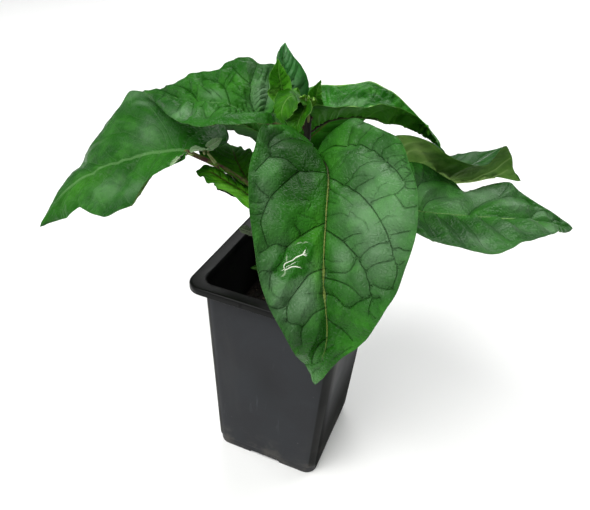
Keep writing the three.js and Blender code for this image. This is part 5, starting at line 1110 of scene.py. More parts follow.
    # tone marks: where negative they are painted shade, darkening parts of the blade that other leaves shade; where
    # positive, a warmer brighter green
    tone_and_shade = np.zeros(len(flat))
    for (uc, vc, su, sv, amount) in L.get("tone_and_shade", []):
        tone_and_shade += amount * np.exp(-(((U - uc) / su) ** 2) - ((Vv - vc) / sv) ** 2)
    tone_and_shade *= 1 + 0.5 * layered(flat, 9 * size, seed + 6, 3)
    marks["tone_and_shade"] = both(np.clip(tone_and_shade, -1, 1), None)
    # painted sheen: soft pale patches laid where the leaf shows a reflected sheen
    painted_sheen = np.zeros(len(flat))
    for (uc, vc, su, sv, amount) in L.get("painted_sheen", []):
        painted_sheen = np.maximum(painted_sheen, amount * np.exp(-(((U - uc) / su) ** 2) - ((Vv - vc) / sv) ** 2))
    marks["painted_sheen"] = both(painted_sheen * (1 + 0.35 * layered(flat, 7 * size, seed + 16, 3)), None)
    if "scar" in L:
        pp, _, pt = sample(L["scar"], 0.25)
        d, side, _ = beside(pp, pt)
        wob = layered(flat, 1.6, 71, 2)
        marks["scar"] = both(np.clip(d * side / (1 + 0.35 * wob), -9, 9), far)
        pp, _, pt = sample(L["pale"], 0.25)
        d2, side2, _ = beside(pp, pt)
        marks["pale"] = both(np.clip(d2 * side2, -9, 9), far)
        marks["scar_near"] = both(step(1.5, 0.9, d), np.zeros(m))
        marks["pale_near"] = both(step(1.2, 0.7, d2), np.zeros(m))
        marks["patch"] = both(step(4.4, 3.2, d + 0.9 * wob), np.zeros(m))
    obj = add_mesh(L["name"] + "_look", verts, faces, marks)
    return obj


# ---------------------------------------------------------------- materials
def leaf_material(name, top, deep, bright, vein, rib, net, under, under_vein, stalk="5f6b35", stalk_dark="472a2c", rough=0.40, net_amount=0.35, vein_amount=0.6, rib_amount=0.9, grain_mm=1.7, bump=0.35, dark_base=None, edge=None, streak=0.5, blotch=0.4, coat=0.0, scar=False, under_rough=0.62, purple_rib=0.0, gloss=0.35, warm=None, dark=None, ior=1.45, painted_sheen="8fae8e", crisp=0.6, rib_groove_shade=0.5):
    T = Tree(name)
    big = T.noise(34, 2.0, 0.5)
    mid = T.noise(8, 3.0, 0.55, 0.4)
    fine = T.noise(1.3, 3.0, 0.6)
    up, uu, vv = T.mark("top"), T.mark("uu"), T.mark("vv")
    lift = T.mark("lift")
    # the upper side
    col = T.mix(T.span(big, 0.36, 0.64), linear(deep), linear(top))
    col = T.mix(T.math("MULTIPLY", T.span(mid, 0.44, 0.72), blotch), col, linear(bright))
    col = T.mix(T.math("MULTIPLY", T.span(fine, 0.50, 0.74), 0.22), col, linear(deep))
    # painted shade: the colour darkens towards the deep green where the surface sinks into grooves and valleys
    col = T.mix(T.span(lift, -0.75, 0.05, 0.45, 0.0), col, linear(deep))
    if streak:
        near_rib = T.math("MULTIPLY", T.span(T.mark("vv"), 0.0, 0.42, 1.0, 0.0), T.span(uu, 0.0, 0.75, 1.0, 0.1))
        col = T.mix(T.math("MULTIPLY", near_rib, streak), col, linear(bright))
    # painted shade where the tone is negative; a warm green where it is positive
    tone_and_shade = T.mark("tone_and_shade")
    col = T.mix(T.math("MULTIPLY", T.span(tone_and_shade, 0.0, 1.0), 0.75), col, linear(warm or bright))
    col = T.mix(T.math("MULTIPLY", T.span(tone_and_shade, 0.0, -1.0), 0.75), col, linear(dark or deep))
    netcol = T.math("MULTIPLY", T.mark("net"), net_amount)
    col = T.mix(netcol, col, linear(net))
    # painted sheen: a pale colour mixed in over the sheen patches
    col = T.mix(T.mark("painted_sheen"), col, linear(painted_sheen))
    line = T.math("MULTIPLY", T.span(T.math("ABSOLUTE", T.mark("line")), 0.0, 1.3, 1.0, 0.0), T.mark("drawn"))
    faint = T.math("MULTIPLY", T.span(T.math("ABSOLUTE", T.mark("faint")), 0.0, 1.1, 1.0, 0.0), T.mark("faint_near"))
    col = T.mix(T.math("MULTIPLY", line, vein_amount), col, linear(vein))
    col = T.mix(T.math("MULTIPLY", faint, vein_amount * 0.3), col, linear(vein))
    ribcol = linear(rib)
    if purple_rib:
        ribcol = T.mix(T.span(uu, 0.12, 0.34, purple_rib, 0.0), linear(rib), linear("1d0d12"))
    ribcol = T.mix(T.span(uu, 0.72, 0.95), ribcol, linear(top))
    if edge:
        col = T.mix(T.math("MULTIPLY", T.span(vv, 0.965, 0.99), 0.8), col, linear(edge))
    # painted shade: a darker strip along both sides of the midrib, over its groove
    fade = T.span(uu, 0.78, 1.0, 1.0, 0.0)
    beside = T.math("ABSOLUTE", T.mark("rib"))
    col = T.mix(T.math("MULTIPLY", T.math("MULTIPLY", T.span(beside, 1.0, 2.6, 1.0, 0.0), fade), rib_groove_shade), col, linear(dark or deep))
    col = T.mix(T.math("MULTIPLY", T.math("MULTIPLY", T.span(beside, 0.35, 1.25, 1.0, 0.0), fade), rib_amount), col, ribcol)
    if scar:
        col = T.mix(T.math("MULTIPLY", T.mark("patch"), 0.85), col, linear("1c5a0c"))
        col = T.mix(T.math("MULTIPLY", T.span(T.math("ABSOLUTE", T.mark("pale")), 0.1, 0.45, 1.0, 0.0), T.math("MULTIPLY", T.mark("pale_near"), 0.45)), col, linear("a9bd9c"))
        col = T.mix(T.math("MULTIPLY", T.span(T.math("ABSOLUTE", T.mark("scar")), 0.10, 0.24, 1.0, 0.0), T.mark("scar_near")), col, linear("dde3d2"))
    # the lower side
    low = T.mix(T.span(big, 0.38, 0.64), linear(under), T.mix(0.35, linear(under), linear(top)))
    low = T.mix(T.math("MULTIPLY", T.mark("net"), 0.30), low, linear(deep))
    # the lower side takes the same tone marks: a paler green where positive, painted shade where negative
    low = T.mix(T.math("MULTIPLY", T.span(tone_and_shade, 0.0, 1.0), 0.8), low, linear(under_vein))
    low = T.mix(T.math("MULTIPLY", T.span(tone_and_shade, 0.0, -1.0), 0.7), low, linear(deep))
    low = T.mix(T.math("MULTIPLY", T.mark("sec"), 0.8), low, linear(under_vein))
    col = T.mix(up, low, col)
    # stalk and midrib tube
    sn = T.noise(5, 3.0, 0.55, 0.3, T.stretch(1.0, 1.0, 1.0))
    st = T.mix(T.span(sn, 0.38, 0.66), linear(stalk), linear(stalk_dark))
    st = T.mix(T.span(uu, 0.02, 0.35), st, linear(under_vein))
    col = T.mix(T.mark("stalk"), col, st)
    T.set(Base_Color=col)
    r = T.span(mid, 0.3, 0.7, rough - 0.05, rough + 0.09)
    r = T.math("ADD", T.math("MULTIPLY", r, up), T.math("MULTIPLY", T.math("SUBTRACT", 1.0, up), under_rough))
    T.set(Roughness=r)
    T.bsdf.inputs["Specular IOR Level"].default_value = gloss
    T.bsdf.inputs["IOR"].default_value = ior
    if coat:
        T.bsdf.inputs["Coat Weight"].default_value = coat
        T.bsdf.inputs["Coat Roughness"].default_value = 0.22
    cells = T.span(T.cells(grain_mm), 0.0, 0.30)
    b1 = T.bump(cells, bump, 0.16)
    b2 = T.bump(T.noise(0.55, 3.0, 0.6), bump * 0.7, 0.10, b1)
    sunk = T.math("MULTIPLY", T.math("MAXIMUM", line, T.math("MULTIPLY", faint, 0.45)), up)
    b3 = T.bump(T.math("SUBTRACT", 1.0, sunk), crisp, 0.35, b2)
    T.link(b3, T.bsdf.inputs["Normal"])
    return T.mat


def pot_material():
    T = Tree("pot_plastic")
    z = T.t.nodes.new("ShaderNodeSeparateXYZ")
    T.link(T.place, z.inputs[0])
    cloud = T.noise(30, 4.0, 0.6, 0.5)
    smear = T.noise(60, 4.0, 0.6, 0.8, T.stretch(1.0, 1.0, 0.35))
    fine = T.noise(1.1, 3.0, 0.7)
    base = T.mix(T.span(cloud, 0.32, 0.70), linear("27282b"), linear("2f3134"))
    dust = T.math("MULTIPLY", T.span(smear, 0.52, 0.78), 0.42)
    base = T.mix(dust, base, linear("4b4946"))
    spots = T.span(T.cells(6.5, "F1"), 0.05, 0.11, 1.0, 0.0)
    keep = T.span(T.noise(17, 2.0), 0.56, 0.62)
    base = T.mix(T.math("MULTIPLY", T.math("MULTIPLY", spots, keep), 0.4), base, linear("77757a"))
    crumbs = T.span(T.cells(15.0, "F1", T.stretch(1.0, 1.0, 0.8)), 0.035, 0.055, 1.0, 0.0)
    base = T.mix(T.math("MULTIPLY", crumbs, 0.85), base, linear("0e0d0c"))
    scuff = T.math("MULTIPLY", T.span(T.noise(2.4, 3.0, 0.6, 0.0, T.stretch(1.0, 1.0, 0.08)), 0.60, 0.70), T.span(T.noise(24, 2.0), 0.5, 0.62))
    base = T.mix(T.math("MULTIPLY", scuff, 0.22), base, linear("5a5b60"))
    base = T.mix(T.math("MULTIPLY", T.span(fine, 0.55, 0.8), 0.18), base, linear("404146"))
    # painted shade: the face turned to the right is darkened towards the bottom; towards its top it is paler and
    # browner in streaks
    right = T.span(T.math("SUBTRACT", z.outputs["X"], T.math("MULTIPLY", z.outputs["Z"], 0.0438)), 0.0319, 0.0324)
    painted_low_shade = T.math("MULTIPLY", T.span(z.outputs["Z"], 0.082, 0.022), T.span(cloud, 0.2, 0.7, 0.97, 0.86))
    base = T.mix(T.math("MULTIPLY", right, painted_low_shade), base, linear("060602"))
    base = T.mix(T.math("MULTIPLY", right, T.math("MULTIPLY", T.span(smear, 0.40, 0.70), T.span(z.outputs["Z"], 0.05, 0.125, 0.0, 0.35))), base, linear("565245"))
    # painted shade: the rolled rim and the inside walls are painted nearly black
    base = T.mix(T.span(z.outputs["Z"], 0.1260, 0.1264), base, linear("090a09"))
    far_in = T.math("MAXIMUM", T.math("ABSOLUTE", z.outputs["X"]), T.math("ABSOLUTE", z.outputs["Y"]))
    inside_shade = T.math("MULTIPLY", T.span(T.math("SUBTRACT", far_in, T.math("MULTIPLY", z.outputs["Z"], 0.0438)), 0.0327, 0.0322), T.span(z.outputs["Z"], 0.006, 0.010))
    base = T.mix(inside_shade, base, linear("0c0d0c"))
    # drier and paler low down where water has splashed
    splash = T.math("MULTIPLY", T.span(z.outputs["Z"], 0.028, 0.002), T.span(T.noise(11, 4.0, 0.6), 0.45, 0.7))
    base = T.mix(T.math("MULTIPLY", splash, 0.4), base, linear("66615a"))
    rough = T.math("SUBTRACT", T.span(cloud, 0.3, 0.7, 0.50, 0.64), T.span(z.outputs["Z"], 0.122, 0.126, 0.0, 0.20))
    rough = T.math("ADD", T.math("MULTIPLY", rough, T.math("SUBTRACT", 1.0, T.math("MULTIPLY", right, painted_low_shade))), T.math("MULTIPLY", right, painted_low_shade))
    T.set(Base_Color=base, Roughness=rough)
    T.bsdf.inputs["Specular IOR Level"].default_value = 0.13
    b1 = T.bump(T.noise(0.9, 3.0, 0.6), 0.22, 0.08)
    b2 = T.bump(T.noise(14, 2.0, 0.5, 0.0, T.stretch(1.0, 1.0, 0.25)), 0.25, 0.5, b1)
    T.link(b2, T.bsdf.inputs["Normal"])
    return T.mat


def soil_material():
    T = Tree("potting_soil")
    a = T.noise(2.2, 4.0, 0.65)
    b = T.noise(9, 3.0, 0.6)
    col = T.mix(T.span(a, 0.35, 0.7), linear("070504"), linear("150e09"))
    col = T.mix(T.math("MULTIPLY", T.span(b, 0.5, 0.75), 0.5), col, linear("20160e"))
    col = T.mix(T.math("MULTIPLY", T.mark("pale"), 0.8), col, linear("453a2c"))
    T.set(Base_Color=col, Roughness=T.span(a, 0.3, 0.7, 0.82, 0.96))
    T.bsdf.inputs["Specular IOR Level"].default_value = 0.2
    T.link(T.bump(T.noise(0.5, 4.0, 0.7), 0.6, 0.25), T.bsdf.inputs["Normal"])
    return T.mat


def stem_material(name="stem_skin", green="46512a", purple="2b191f"):
    T = Tree(name)
    z = T.t.nodes.new("ShaderNodeSeparateXYZ")
    T.link(T.place, z.inputs[0])
    streak = T.noise(2.2, 3.0, 0.6, 0.2, T.stretch(1.0, 1.0, 0.12))
    cloud = T.noise(12, 3.0, 0.6)
    amount = T.math("ADD", T.span(streak, 0.35, 0.7, 0.0, 0.55), T.span(cloud, 0.4, 0.7, 0.0, 0.45))
    col = T.mix(amount, linear(green), linear(purple))
    col = T.mix(T.math("MULTIPLY", T.mark("node"), 0.8), col, linear(purple))
    bark = T.math("MULTIPLY", T.span(z.outputs["Z"], 0.125, 0.094), T.span(streak, 0.3, 0.6, 0.4, 0.9))
    col = T.mix(bark, col, linear("6b5c44"))
    T.set(Base_Color=col, Roughness=T.span(cloud, 0.3, 0.7, 0.55, 0.7))
    T.bsdf.inputs["Specular IOR Level"].default_value = 0.15
    T.link(T.bump(streak, 0.5, 0.25), T.bsdf.inputs["Normal"])
    return T.mat


# ---------------------------------------------------------------- the pot
POT_HEIGHT, RIM_HALF, RIM_SKIRT, RIM_CORNER = 130.0, 45.0, 4.0, 9.0
WALL_TOP, WALL_BOTTOM, WALL, FLOOR = 38.8, 33.1, 1.4, 3.4
FOOT, INSET, ARCH_HALF, ARCH_HEIGHT, PAD_HALF, DRAIN = 7.0, 0.7, 10.0, 2.2, 12.0, 3.5
SOIL_TOP = 92.0


def wall_half(z):
    return WALL_BOTTOM + (WALL_TOP - WALL_BOTTOM) * z / POT_HEIGHT


def ring(half, radius, z, corner=9, flat=14, bow=0.0):
    """One ring of a square with rounded corners, anticlockwise from above."""
    out = []
    c = half - radius
    for q in range(4):
        sx, sy = [(1, 1), (-1, 1), (-1, -1), (1, -1)][q]
        for i in range(corner + 1):
            a = math.radians(q * 90 + i * 90 / corner)
            out.append((sx * c + radius * math.cos(a), sy * c + radius * math.sin(a), z))
        nx, ny = [(0, 1), (-1, 0), (0, -1), (1, 0)][q]
        tx, ty = [(-1, 0), (0, -1), (1, 0), (0, 1)][q]
        for i in range(1, flat):
            s = i / flat * 2 - 1
            d = half - bow * (1 - s * s)
            out.append((nx * d + tx * c * s, ny * d + ty * c * s, z))
    return np.array(out)


def stacked(rings, cap_low=True, cap_high=True):
    n = len(rings[0])
    verts = np.vstack(rings)
    faces = []
    for r in range(len(rings) - 1):
        for i in range(n):
            a, b = r * n + i, r * n + (i + 1) % n
            faces.append((a, b, b + n, a + n))
    if cap_low:
        verts = np.vstack([verts, rings[0].mean(0)])
        c = len(verts) - 1
        faces += [(c, (i + 1) % n, i) for i in range(n)]
    if cap_high:
        verts = np.vstack([verts, rings[-1].mean(0)])
        c = len(verts) - 1
        o = (len(rings) - 1) * n
        faces += [(c, o + i, o + (i + 1) % n) for i in range(n)]
    return verts, faces


def make_pot():
    rows = [(WALL_BOTTOM - INSET - 0.8, 6.6, 0.0), (WALL_BOTTOM - INSET - 0.35, 6.7, 0.25), (WALL_BOTTOM - INSET, 7.0, 1.0)]
    rows += [(wall_half(3.5) - INSET, 7.0, 3.5), (wall_half(FOOT) - INSET, 7.0, FOOT - 0.75), (wall_half(FOOT) - 0.16, 7.2, FOOT - 0.22), (wall_half(FOOT), 7.4, FOOT + 0.15)]
    rows += [(wall_half(z), 7.4 + 0.2 * z / 130, z) for z in np.linspace(9, 127.4, 26)]
    rows += [(WALL_TOP - 0.05, 7.8, 128.4), (WALL_TOP + 0.35, 7.9, 128.6), (43.3, 7.5, 128.6), (43.7, 7.8, 128.2), (43.7, 7.8, 126.35), (43.95, 7.95, 126.0), (44.7, 8.7, 126.0)]
    rows += [(45.0, 9.0, 126.3), (45.0, 9.0, 127.8), (44.95, 8.95, 129.1), (44.7, 8.7, 129.65), (44.3, 8.4, 129.93), (43.5, 7.8, 130.0), (41.0, 7.3, 129.9), (38.9, 7.0, 129.9), (38.2, 6.8, 129.75), (37.75, 6.8, 129.2)]
    rows += [(wall_half(z) - WALL, 6.6 - 0.5 * (1 - z / 130), z) for z in np.linspace(126.5, 8, 22)]
    rows += [(wall_half(5.4) - WALL - 0.1, 6.0, 5.4), (wall_half(4) - WALL - 0.7, 5.6, 3.9), (wall_half(FLOOR) - WALL - 1.6, 5.0, FLOOR)]
    rings = []
    for k, (h, r, z) in enumerate(rows):
        bow = 0.55 * math.sin(math.pi * min(max((z - 7) / 120, 0), 1)) if 7 < z < 126 and h < 39 else 0.0
        rings.append(ring(h, r, z, 9, 14, bow))
    verts, faces = stacked(rings)
    pot = add_mesh("pot_look", verts, faces)
    # cutters: four low arches, four drain holes, two fine slots in the front of the rim
    cv, cf = [], []

    def prism(poly, axis, lo, hi):
        n = len(poly)
        base = sum(len(x) for x in cv)
        pts = []
        for w in (lo, hi):
            for a, b in poly:
                pts.append({"x": (w, a, b), "y": (a, w, b), "z": (a, b, w)}[axis])
        cv.append(np.array(pts))
        cf.extend([(base + i, base + (i + 1) % n, base + n + (i + 1) % n, base + n + i) for i in range(n)])
        cf.append(tuple(base + i for i in range(n))[::-1])
        cf.append(tuple(base + n + i for i in range(n)))

    arch = [(-ARCH_HALF, -1.0), (ARCH_HALF, -1.0)] + [(ARCH_HALF - 1.6 + 1.6 * math.cos(a), ARCH_HEIGHT - 1.3 + 1.3 * math.sin(a)) for a in np.radians([0, 22, 45, 68, 90])] + [(-ARCH_HALF + 1.6 + 1.6 * math.cos(a), ARCH_HEIGHT - 1.3 + 1.3 * math.sin(a)) for a in np.radians([90, 112, 135, 158, 180])]
    for s in (-1, 1):
        prism(arch, "x", *sorted((s * PAD_HALF, s * 40)))
        prism(arch, "y", *sorted((s * PAD_HALF, s * 40)))
    circle = [(math.cos(a) * DRAIN, math.sin(a) * DRAIN) for a in np.linspace(0, 2 * np.pi, 28, endpoint=False)]
    for dx, dy in ((19, 0), (-19, 0), (0, 19), (0, -19)):
        prism([(a + dx, b + dy) for a, b in circle], "z", 1.0, 6.0)
    for x in (-12, 7.5):
        prism([(x - 0.45, -45.6), (x + 0.45, -45.6), (x + 0.45, -44.6), (x - 0.45, -44.6)], "z", 125.0, 129.2)
    cutter = add_mesh("cutter", np.vstack(cv), cf, smooth=False)
    import bmesh

    bm = bmesh.new()
    bm.from_mesh(cutter.data)
    bmesh.ops.recalc_face_normals(bm, faces=bm.faces)
    bm.to_mesh(cutter.data)
    bm.free()
    mod = pot.modifiers.new("cut", "BOOLEAN")
    mod.operation = "DIFFERENCE"
    mod.solver = "EXACT"
    mod.object = cutter
    bpy.context.view_layer.update()
    done = bpy.data.meshes.new_from_object(pot.evaluated_get(bpy.context.evaluated_depsgraph_get()))
    pot.modifiers.clear()
    pot.data = done
    bpy.data.objects.remove(cutter)
    done.polygons.foreach_set("use_smooth", [True] * len(done.polygons))
    done.set_sharp_from_angle(angle=math.radians(38))
    return pot


# ---------------------------------------------------------------- soil, stem
def make_soil():
    rng = np.random.RandomState(5)
    corner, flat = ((14, 30))
    rings = [ring(wall_half(FLOOR) - WALL - 2.0, 4.4, FLOOR + 0.35, corner, flat), ring(wall_half(8) - WALL - 0.45, 5.6, 8.0, corner, flat)]
    rings += [ring(wall_half(z) - WALL - 0.45, 5.8, z, corner, flat) for z in (40.0, 75.0, SOIL_TOP - 3.4)]
    half = wall_half(SOIL_TOP) - WALL - 0.5
    for k in np.linspace(0, 1, 52)[:-1]:
        s = 1 - k
        r = ring(half * s, 6 * s, 0, corner, flat)
        p = r.copy()
        rise = 0.9 * layered(p, 14, 3, 2) + 0.75 * np.abs(layered(p, 3.4, 8, 3)) + 0.25 * layered(p, 1.3, 12, 2)
        edge = 1.6 * step(0.9, 1.0, np.array([s]))[0]
        r[:, 2] = SOIL_TOP - 1.3 + rise - edge
        rings.append(r)
    verts, faces = stacked(rings)
    pale = np.zeros(len(verts))
    ico = bpy.data.meshes.new("lump")
    import bmesh

    bm = bmesh.new()
    bmesh.ops.create_icosphere(bm, subdivisions=1, radius=1.0)
    lump_v = np.array([x.co for x in bm.verts])
    lump_f = np.array([[x.index for x in f.verts] for f in bm.faces])
    bm.free()
    bpy.data.meshes.remove(ico)
    vs, fs, pl = [verts], list(faces), [pale]
    base = len(verts)
    for i in range(620):
        x, y = (rng.rand(2) * 2 - 1) * (half - 2.2)
        if math.hypot(x, y) < 4.2:
            continue
        r = 0.55 + 1.5 * rng.rand() ** 2.2
        q = lump_v * r * (0.75 + 0.5 * rng.rand(len(lump_v), 1)) * np.array([1.0, 0.65 + 0.5 * rng.rand(), 0.6])
        a = rng.rand() * 6.28
        q = q @ np.array([[math.cos(a), -math.sin(a), 0], [math.sin(a), math.cos(a), 0], [0, 0, 1.0]])
        p0 = np.array([[x, y, 0.0]])
        z = SOIL_TOP - 1.3 + float(0.9 * layered(p0, 14, 3, 2)[0] + 0.75 * abs(layered(p0, 3.4, 8, 3)[0])) + r * 0.25
        vs.append(q + np.array([x, y, min(z, SOIL_TOP + 2.2)]))
        fs += [tuple(int(b) + base for b in f) for f in lump_f]
        base += len(lump_v)
        pl.append(np.full(len(lump_v), 1.0 if rng.rand() < 0.10 else 0.0))
    return add_mesh("soil_look", np.vstack(vs), fs, {"pale": np.concatenate(pl)})


STEM_R = [(74, 2.6), (88, 3.5), (96, 3.2), (120, 2.9), (150, 2.7), (158, 2.9), (166, 2.6), (176, 2.2), (186, 2.0), (196, 1.8), (203, 1.8), (209, 1.6), (214, 1.2)]


def make_stem():
    zs = np.linspace(74, 214, 200)
    r = spline([a for a, _ in STEM_R], [b for _, b in STEM_R], zs)
    sides = 28
    ang = np.arange(sides) / sides * 2 * np.pi
    nodes = sorted({round(L["stalk"][0][2], 1) for L in LEAVES.values() if abs(L["stalk"][0][0]) < 0.01 and abs(L["stalk"][0][1]) < 0.01})
    swell = sum(np.exp(-(((zs - z) / 1.8) ** 2)) for z in nodes)
    node = np.clip(swell, 0, 1)
    rings = []
    for z, rr, s in zip(zs, r, swell):
        a = rr * (0.96 + 0.06 * min(s, 1.2)) + 0.12 * np.cos(ang * 5 + z * 0.012) * (z < 200)
        p = np.stack([a * np.cos(ang), a * np.sin(ang), np.full(sides, z)], 1)
        rings.append(p)
    verts, faces = stacked(rings)
    bumpy = layered(verts, 3.0, 2, 2) * 0.12
    verts[:, :2] *= (1 + bumpy / np.maximum(np.hypot(verts[:, 0], verts[:, 1]), 1.0))[:, None]
    mark = np.r_[np.repeat(node, sides), 0, 0]
    return add_mesh("main_stem_look", verts, faces, {"node": mark})


# ---------------------------------------------------------------- put it together
MATERIALS = {
    "glossy": leaf_material("leaf_glossy_dark", top="2c6c1b", deep="1a4c0e", bright="3d8226", vein="0f2a09", rib="6f7f3c", net="1b4713", under="4f6c3c", under_vein="7f8f58", rough=0.30, purple_rib=1.0, net_amount=0.25, vein_amount=0.62, bump=0.85, scar=True, blotch=0.35, streak=0.2, gloss=0.12, warm="428a18", dark="0c3303", crisp=1.3, rib_groove_shade=0.8),
    "top_back": leaf_material("leaf_top_dark", top="2f7030", deep="1b4f1b", bright="45893e", vein="1b4a1a", rib="4f8a45", net="184a19", under="4f7c3c", under_vein="7f9f58", rough=0.32, vein_amount=0.4, gloss=0.3, bump=0.45),
    "quilted": leaf_material("leaf_quilted_mid", top="276316", deep="15480c", bright="3b7c24", vein="15450d", rib="6d9a5c", net="1a4f12", under="56723c", under_vein="86985c", rough=0.31, net_amount=0.4, vein_amount=0.55, bump=0.7, rib_amount=0.5, rib_groove_shade=0.3, streak=0.4, gloss=0.16, ior=1.36, warm="3f8a18", dark="124c02", crisp=1.1),
    # the pale vein lines are partly the veins' own paler green and partly a painted highlight along their edges
    "quilted_far": leaf_material("leaf_quilted_far", top="276316", deep="15480c", bright="3b7c24", vein="568c4a", rib="6a955a", net="1a4f12", under="56723c", under_vein="86985c", rough=0.31, net_amount=0.4, vein_amount=0.42, bump=0.75, rib_amount=0.42, rib_groove_shade=0.3, streak=0.4, gloss=0.16, ior=1.36, warm="3f8a18", dark="124c02", crisp=0.6),
    "quilted_right": leaf_material("leaf_quilted_right", top="2a671c", deep="15440f", bright="3d7f28", vein="143f0e", rib="6f9a4c", net="164513", under="56723c", under_vein="86985c", rough=0.33, net_amount=0.35, vein_amount=0.5, streak=0.3, gloss=0.17, bump=0.8, warm="3a7e1c", dark="143f0c", crisp=0.8),
    "upper_right": leaf_material("leaf_upper_right", top="2b7813", deep="17520a", bright="479c22", vein="3f8a26", rib="2f1a1e", net="18530f", under="2c680c", under_vein="3a7414", rough=0.31, vein_amount=0.3, bump=0.7, edge="7ba850", stalk="2a1d1b", stalk_dark="1b0f12", gloss=0.22, ior=1.35, under_rough=0.75),
    "pale": leaf_material("leaf_pale_underside", top="1f5316", deep="123a0e", bright="31691f", vein="224f1c", rib="729050", net="174416", under="628c3a", under_vein="98b86a", rough=0.34, under_rough=0.7, bump=0.3, gloss=0.13, painted_sheen="9db898"),
    "shaded": leaf_material("leaf_shaded", top="20580b", deep="143f06", bright="2e6816", vein="3c5f25", rib="44532a", net="13360b", under="2f4b18", under_vein="536a36", rough=0.5, gloss=0.1, ior=1.3, under_rough=0.7),
    "lower": leaf_material("leaf_lower", top="3f9311", deep="1d5908", bright="64b224", vein="559a30", rib="4f3324", net="205a0d", under="457325", under_vein="79984b", rough=0.4, blotch=0.6, gloss=0.2, ior=1.35),
    "young": leaf_material("leaf_young_bright", top="367f12", deep="235f0c", bright="559e22", vein="7ab43c", rib="86b85a", net="1f5a0d", under="4f8a2c", under_vein="8bb054", rough=0.4, grain_mm=1.1, net_amount=0.4, vein_amount=0.45, edge="8fbf66", streak=0.3, blotch=0.6, gloss=0.22, ior=1.38),
    "fresh": leaf_material("leaf_fresh_bright", top="55a022", deep="377f14", bright="7fbf4c", vein="3c8a18", rib="72b048", net="37801a", under="5f9a3a", under_vein="98bd66", rough=0.38, grain_mm=1.1, net_amount=0.5, vein_amount=0.45, edge="6fae44", streak=0.3, blotch=0.7, gloss=0.22, ior=1.38, warm="8cc84a", bump=0.5),
    "tip_dark": leaf_material("leaf_tip_mid", top="2a6606", deep="1a4b04", bright="42850f", vein="4a8524", rib="6f9f48", net="164404", under="2f5f0e", under_vein="5f8a3c", rough=0.42, grain_mm=1.1, net_amount=0.4, vein_amount=0.35, rib_amount=0.6, edge="74a44c", streak=0.3, blotch=0.6, gloss=0.18, ior=1.38, bump=0.45),
    "crinkled": leaf_material("leaf_tip_crinkled", top="93cf35", deep="5c9a1c", bright="c4e878", vein="d5eeb0", rib="d9efb8", net="5c9a1c", under="86b850", under_vein="b5d488", rough=0.4, grain_mm=0.9, net_amount=0.6, vein_amount=0.5, edge="c9e39a", streak=0.3, blotch=0.7, gloss=0.22, ior=1.38, bump=0.5),
    "low_dark": leaf_material("leaf_low_green", top="163c06", deep="0e2c04", bright="20500c", vein="2f5a18", rib="4a6a30", net="0e2d04", under="24450e", under_vein="4a6a30", rough=0.5, gloss=0.1, ior=1.35, under_rough=0.7),
    # painted light: this leaf's greens are made much brighter than its own to make up for the deep shade it sits in
    "inner": leaf_material("leaf_inner_painted_light", top="4b971f", deep="387a16", bright="5fa92a", vein="4d7a2c", rib="5f5a34", net="285a10", under="4a6e26", under_vein="6b8a48", rough=0.5, gloss=0.12, ior=1.3, under_rough=0.7),
    "deepest": leaf_material("leaf_back_shade", top="184a08", deep="0f3804", bright="225410", vein="2c5216", rib="3a3c1c", net="0f3304", under="2a5a08", under_vein="446c1c", rough=0.6, gloss=0.03, ior=1.2, under_rough=0.8),
    "grey": leaf_material("leaf_low_grey", top="4c5843", deep="3c4a33", bright="626e56", vein="6b765e", rib="727c64", net="404e37", under="5a6550", under_vein="727c66", stalk="4a5538", stalk_dark="3c3a2c", rough=0.65, under_rough=0.7, grain_mm=0.9, bump=0.4, edge="7b8570", vein_amount=0.5, gloss=0.15),
    "downy": leaf_material("leaf_downy_pale", top="84a777", deep="69905c", bright="a5bf97", vein="afc19d", rib="b8c6a5", net="688a5c", under="8ea57e", under_vein="b0c0a0", stalk="85975f", stalk_dark="747448", rough=0.62, under_rough=0.7, grain_mm=0.7, bump=0.5, edge="c0ceb0", vein_amount=0.5, gloss=0.2),
}

for key, L in LEAVES.items():
    obj = make_leaf(key)
    settle(obj, L["slot"], MATERIALS[L["mat"]], L["name"])

pot = make_pot()
settle(pot, "pot_plastic", pot_material(), "pot")
soil = make_soil()
settle(soil, "potting_soil", soil_material(), "soil")
stem = make_stem()
settle(stem, "stem_skin", stem_material(green="1f330c", purple="180f10"), "main_stem")
tv, tf, ta = tube([(-46.4, -6.6, 181.6), (-47.6, -7.2, 183.6), (-48.6, -7.6, 185.2), (-49.6, -8.4, 186.9)], [1.0, 0.85, 0.7, 0.5], 10, 4.0)
shoot = add_mesh("side_shoot_stalk_look", tv, tf, {"stalk": np.ones(len(tv)), "uu": np.full(len(tv), -0.2), "top": np.zeros(len(tv))})
settle(shoot, "leaf_downy_pale", MATERIALS["downy"], "side_shoot_stalk")

# floor
fm = Tree("floor")
fm.set(Base_Color=linear("fbfbfa"), Roughness=0.9)
fm.bsdf.inputs["Specular IOR Level"].default_value = 0.1
floor = add_mesh("floor", np.array([(-9000, -9000, 0), (9000, -9000, 0), (9000, 9000, 0), (-9000, 9000, 0)], float), [(0, 1, 2, 3)], smooth=False)
floor.data.materials.append(fm.mat)


# light
def area(name, at, toward, size, watts, colour=(1, 1, 1)):
    data = bpy.data.lights.new(name, "AREA")
    data.shape = "RECTANGLE"
    data.size, data.size_y = size
    data.energy = watts
    data.color = colour
    o = bpy.data.objects.new(name, data)
    bpy.context.scene.collection.objects.link(o)
    o.location = at
    o.rotation_euler = (Vector(toward) - Vector(at)).to_track_quat("-Z", "Y").to_euler()
    return o


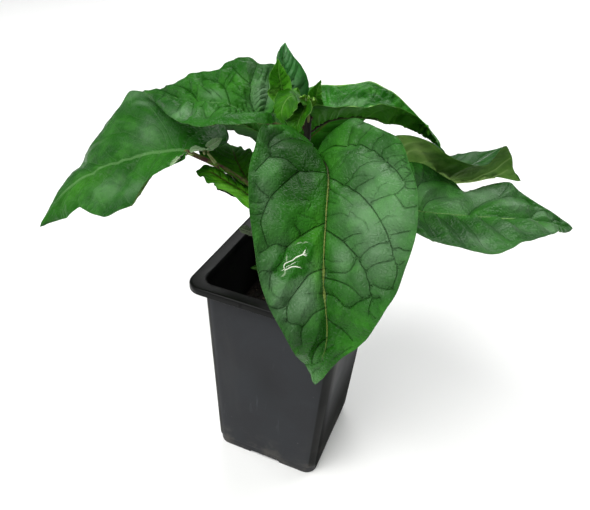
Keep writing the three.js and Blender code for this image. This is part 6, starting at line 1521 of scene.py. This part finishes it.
area("key", (-0.20, -0.62, 1.27), (0, 0, 0.15), (0.9, 0.7), 17.5, (1.0, 1.0, 0.99))
area("left", (-1.17, -0.10, 0.70), (0, 0, 0.15), (0.8, 0.6), 3.0, (0.96, 0.99, 1.0))
area("back", (-0.10, 1.15, 0.95), (0, 0, 0.15), (0.8, 0.4), 1.1, (0.96, 0.99, 1.0))
area("front_left", (-0.61, -1.06, 0.60), (0, 0, 0.15), (1.0, 0.7), 3.2)
area("front_right", (0.86, -0.72, 0.80), (0, 0, 0.15), (0.9, 0.7), 1.1)
area("back_right", (0.90, 0.80, 1.00), (0, 0, 0.15), (0.7, 0.5), 2.4)
area("back_left", (-0.62, 0.95, 1.25), (0, 0, 0.15), (0.7, 0.5), 2.0)
area("behind", (0.25, 1.55, 1.55), (0.25, 1.5, 0.0), (2.6, 1.4), 34.0)
world = bpy.data.worlds.new("room")
bpy.context.scene.world = world
world.use_nodes = True
world.node_tree.nodes["Background"].inputs["Color"].default_value = (0.96, 0.98, 1.0, 1.0)
world.node_tree.nodes["Background"].inputs["Strength"].default_value = 0.11

# camera, at the photograph's angle
cam_data = bpy.data.cameras.new("camera")
cam_data.sensor_fit = "HORIZONTAL"
cam_data.sensor_width = 36.0
cam_data.lens = 585.961 / 590 * 36.0
cam_data.clip_end = 50.0
cam = bpy.data.objects.new("camera", cam_data)
bpy.context.scene.collection.objects.link(cam)
az, el, roll = math.radians(19.8458), math.radians(34.2351), math.radians(4.35214)
back = Vector((math.sin(az) * math.cos(el), -math.cos(az) * math.cos(el), math.sin(el)))
right = (-back).cross(Vector((0, 0, 1))).normalized()
up = right.cross(-back)
c, s = math.cos(roll), math.sin(roll)
r2, u2 = c * right + s * up, -s * right + c * up
cam.matrix_world = Matrix(((r2.x, u2.x, back.x, 0.0880912), (r2.y, u2.y, back.y, -0.2483583), (r2.z, u2.z, back.z, 0.3142794), (0, 0, 0, 1)))
bpy.context.scene.camera = cam
bpy.context.scene.view_settings.view_transform = "Standard"
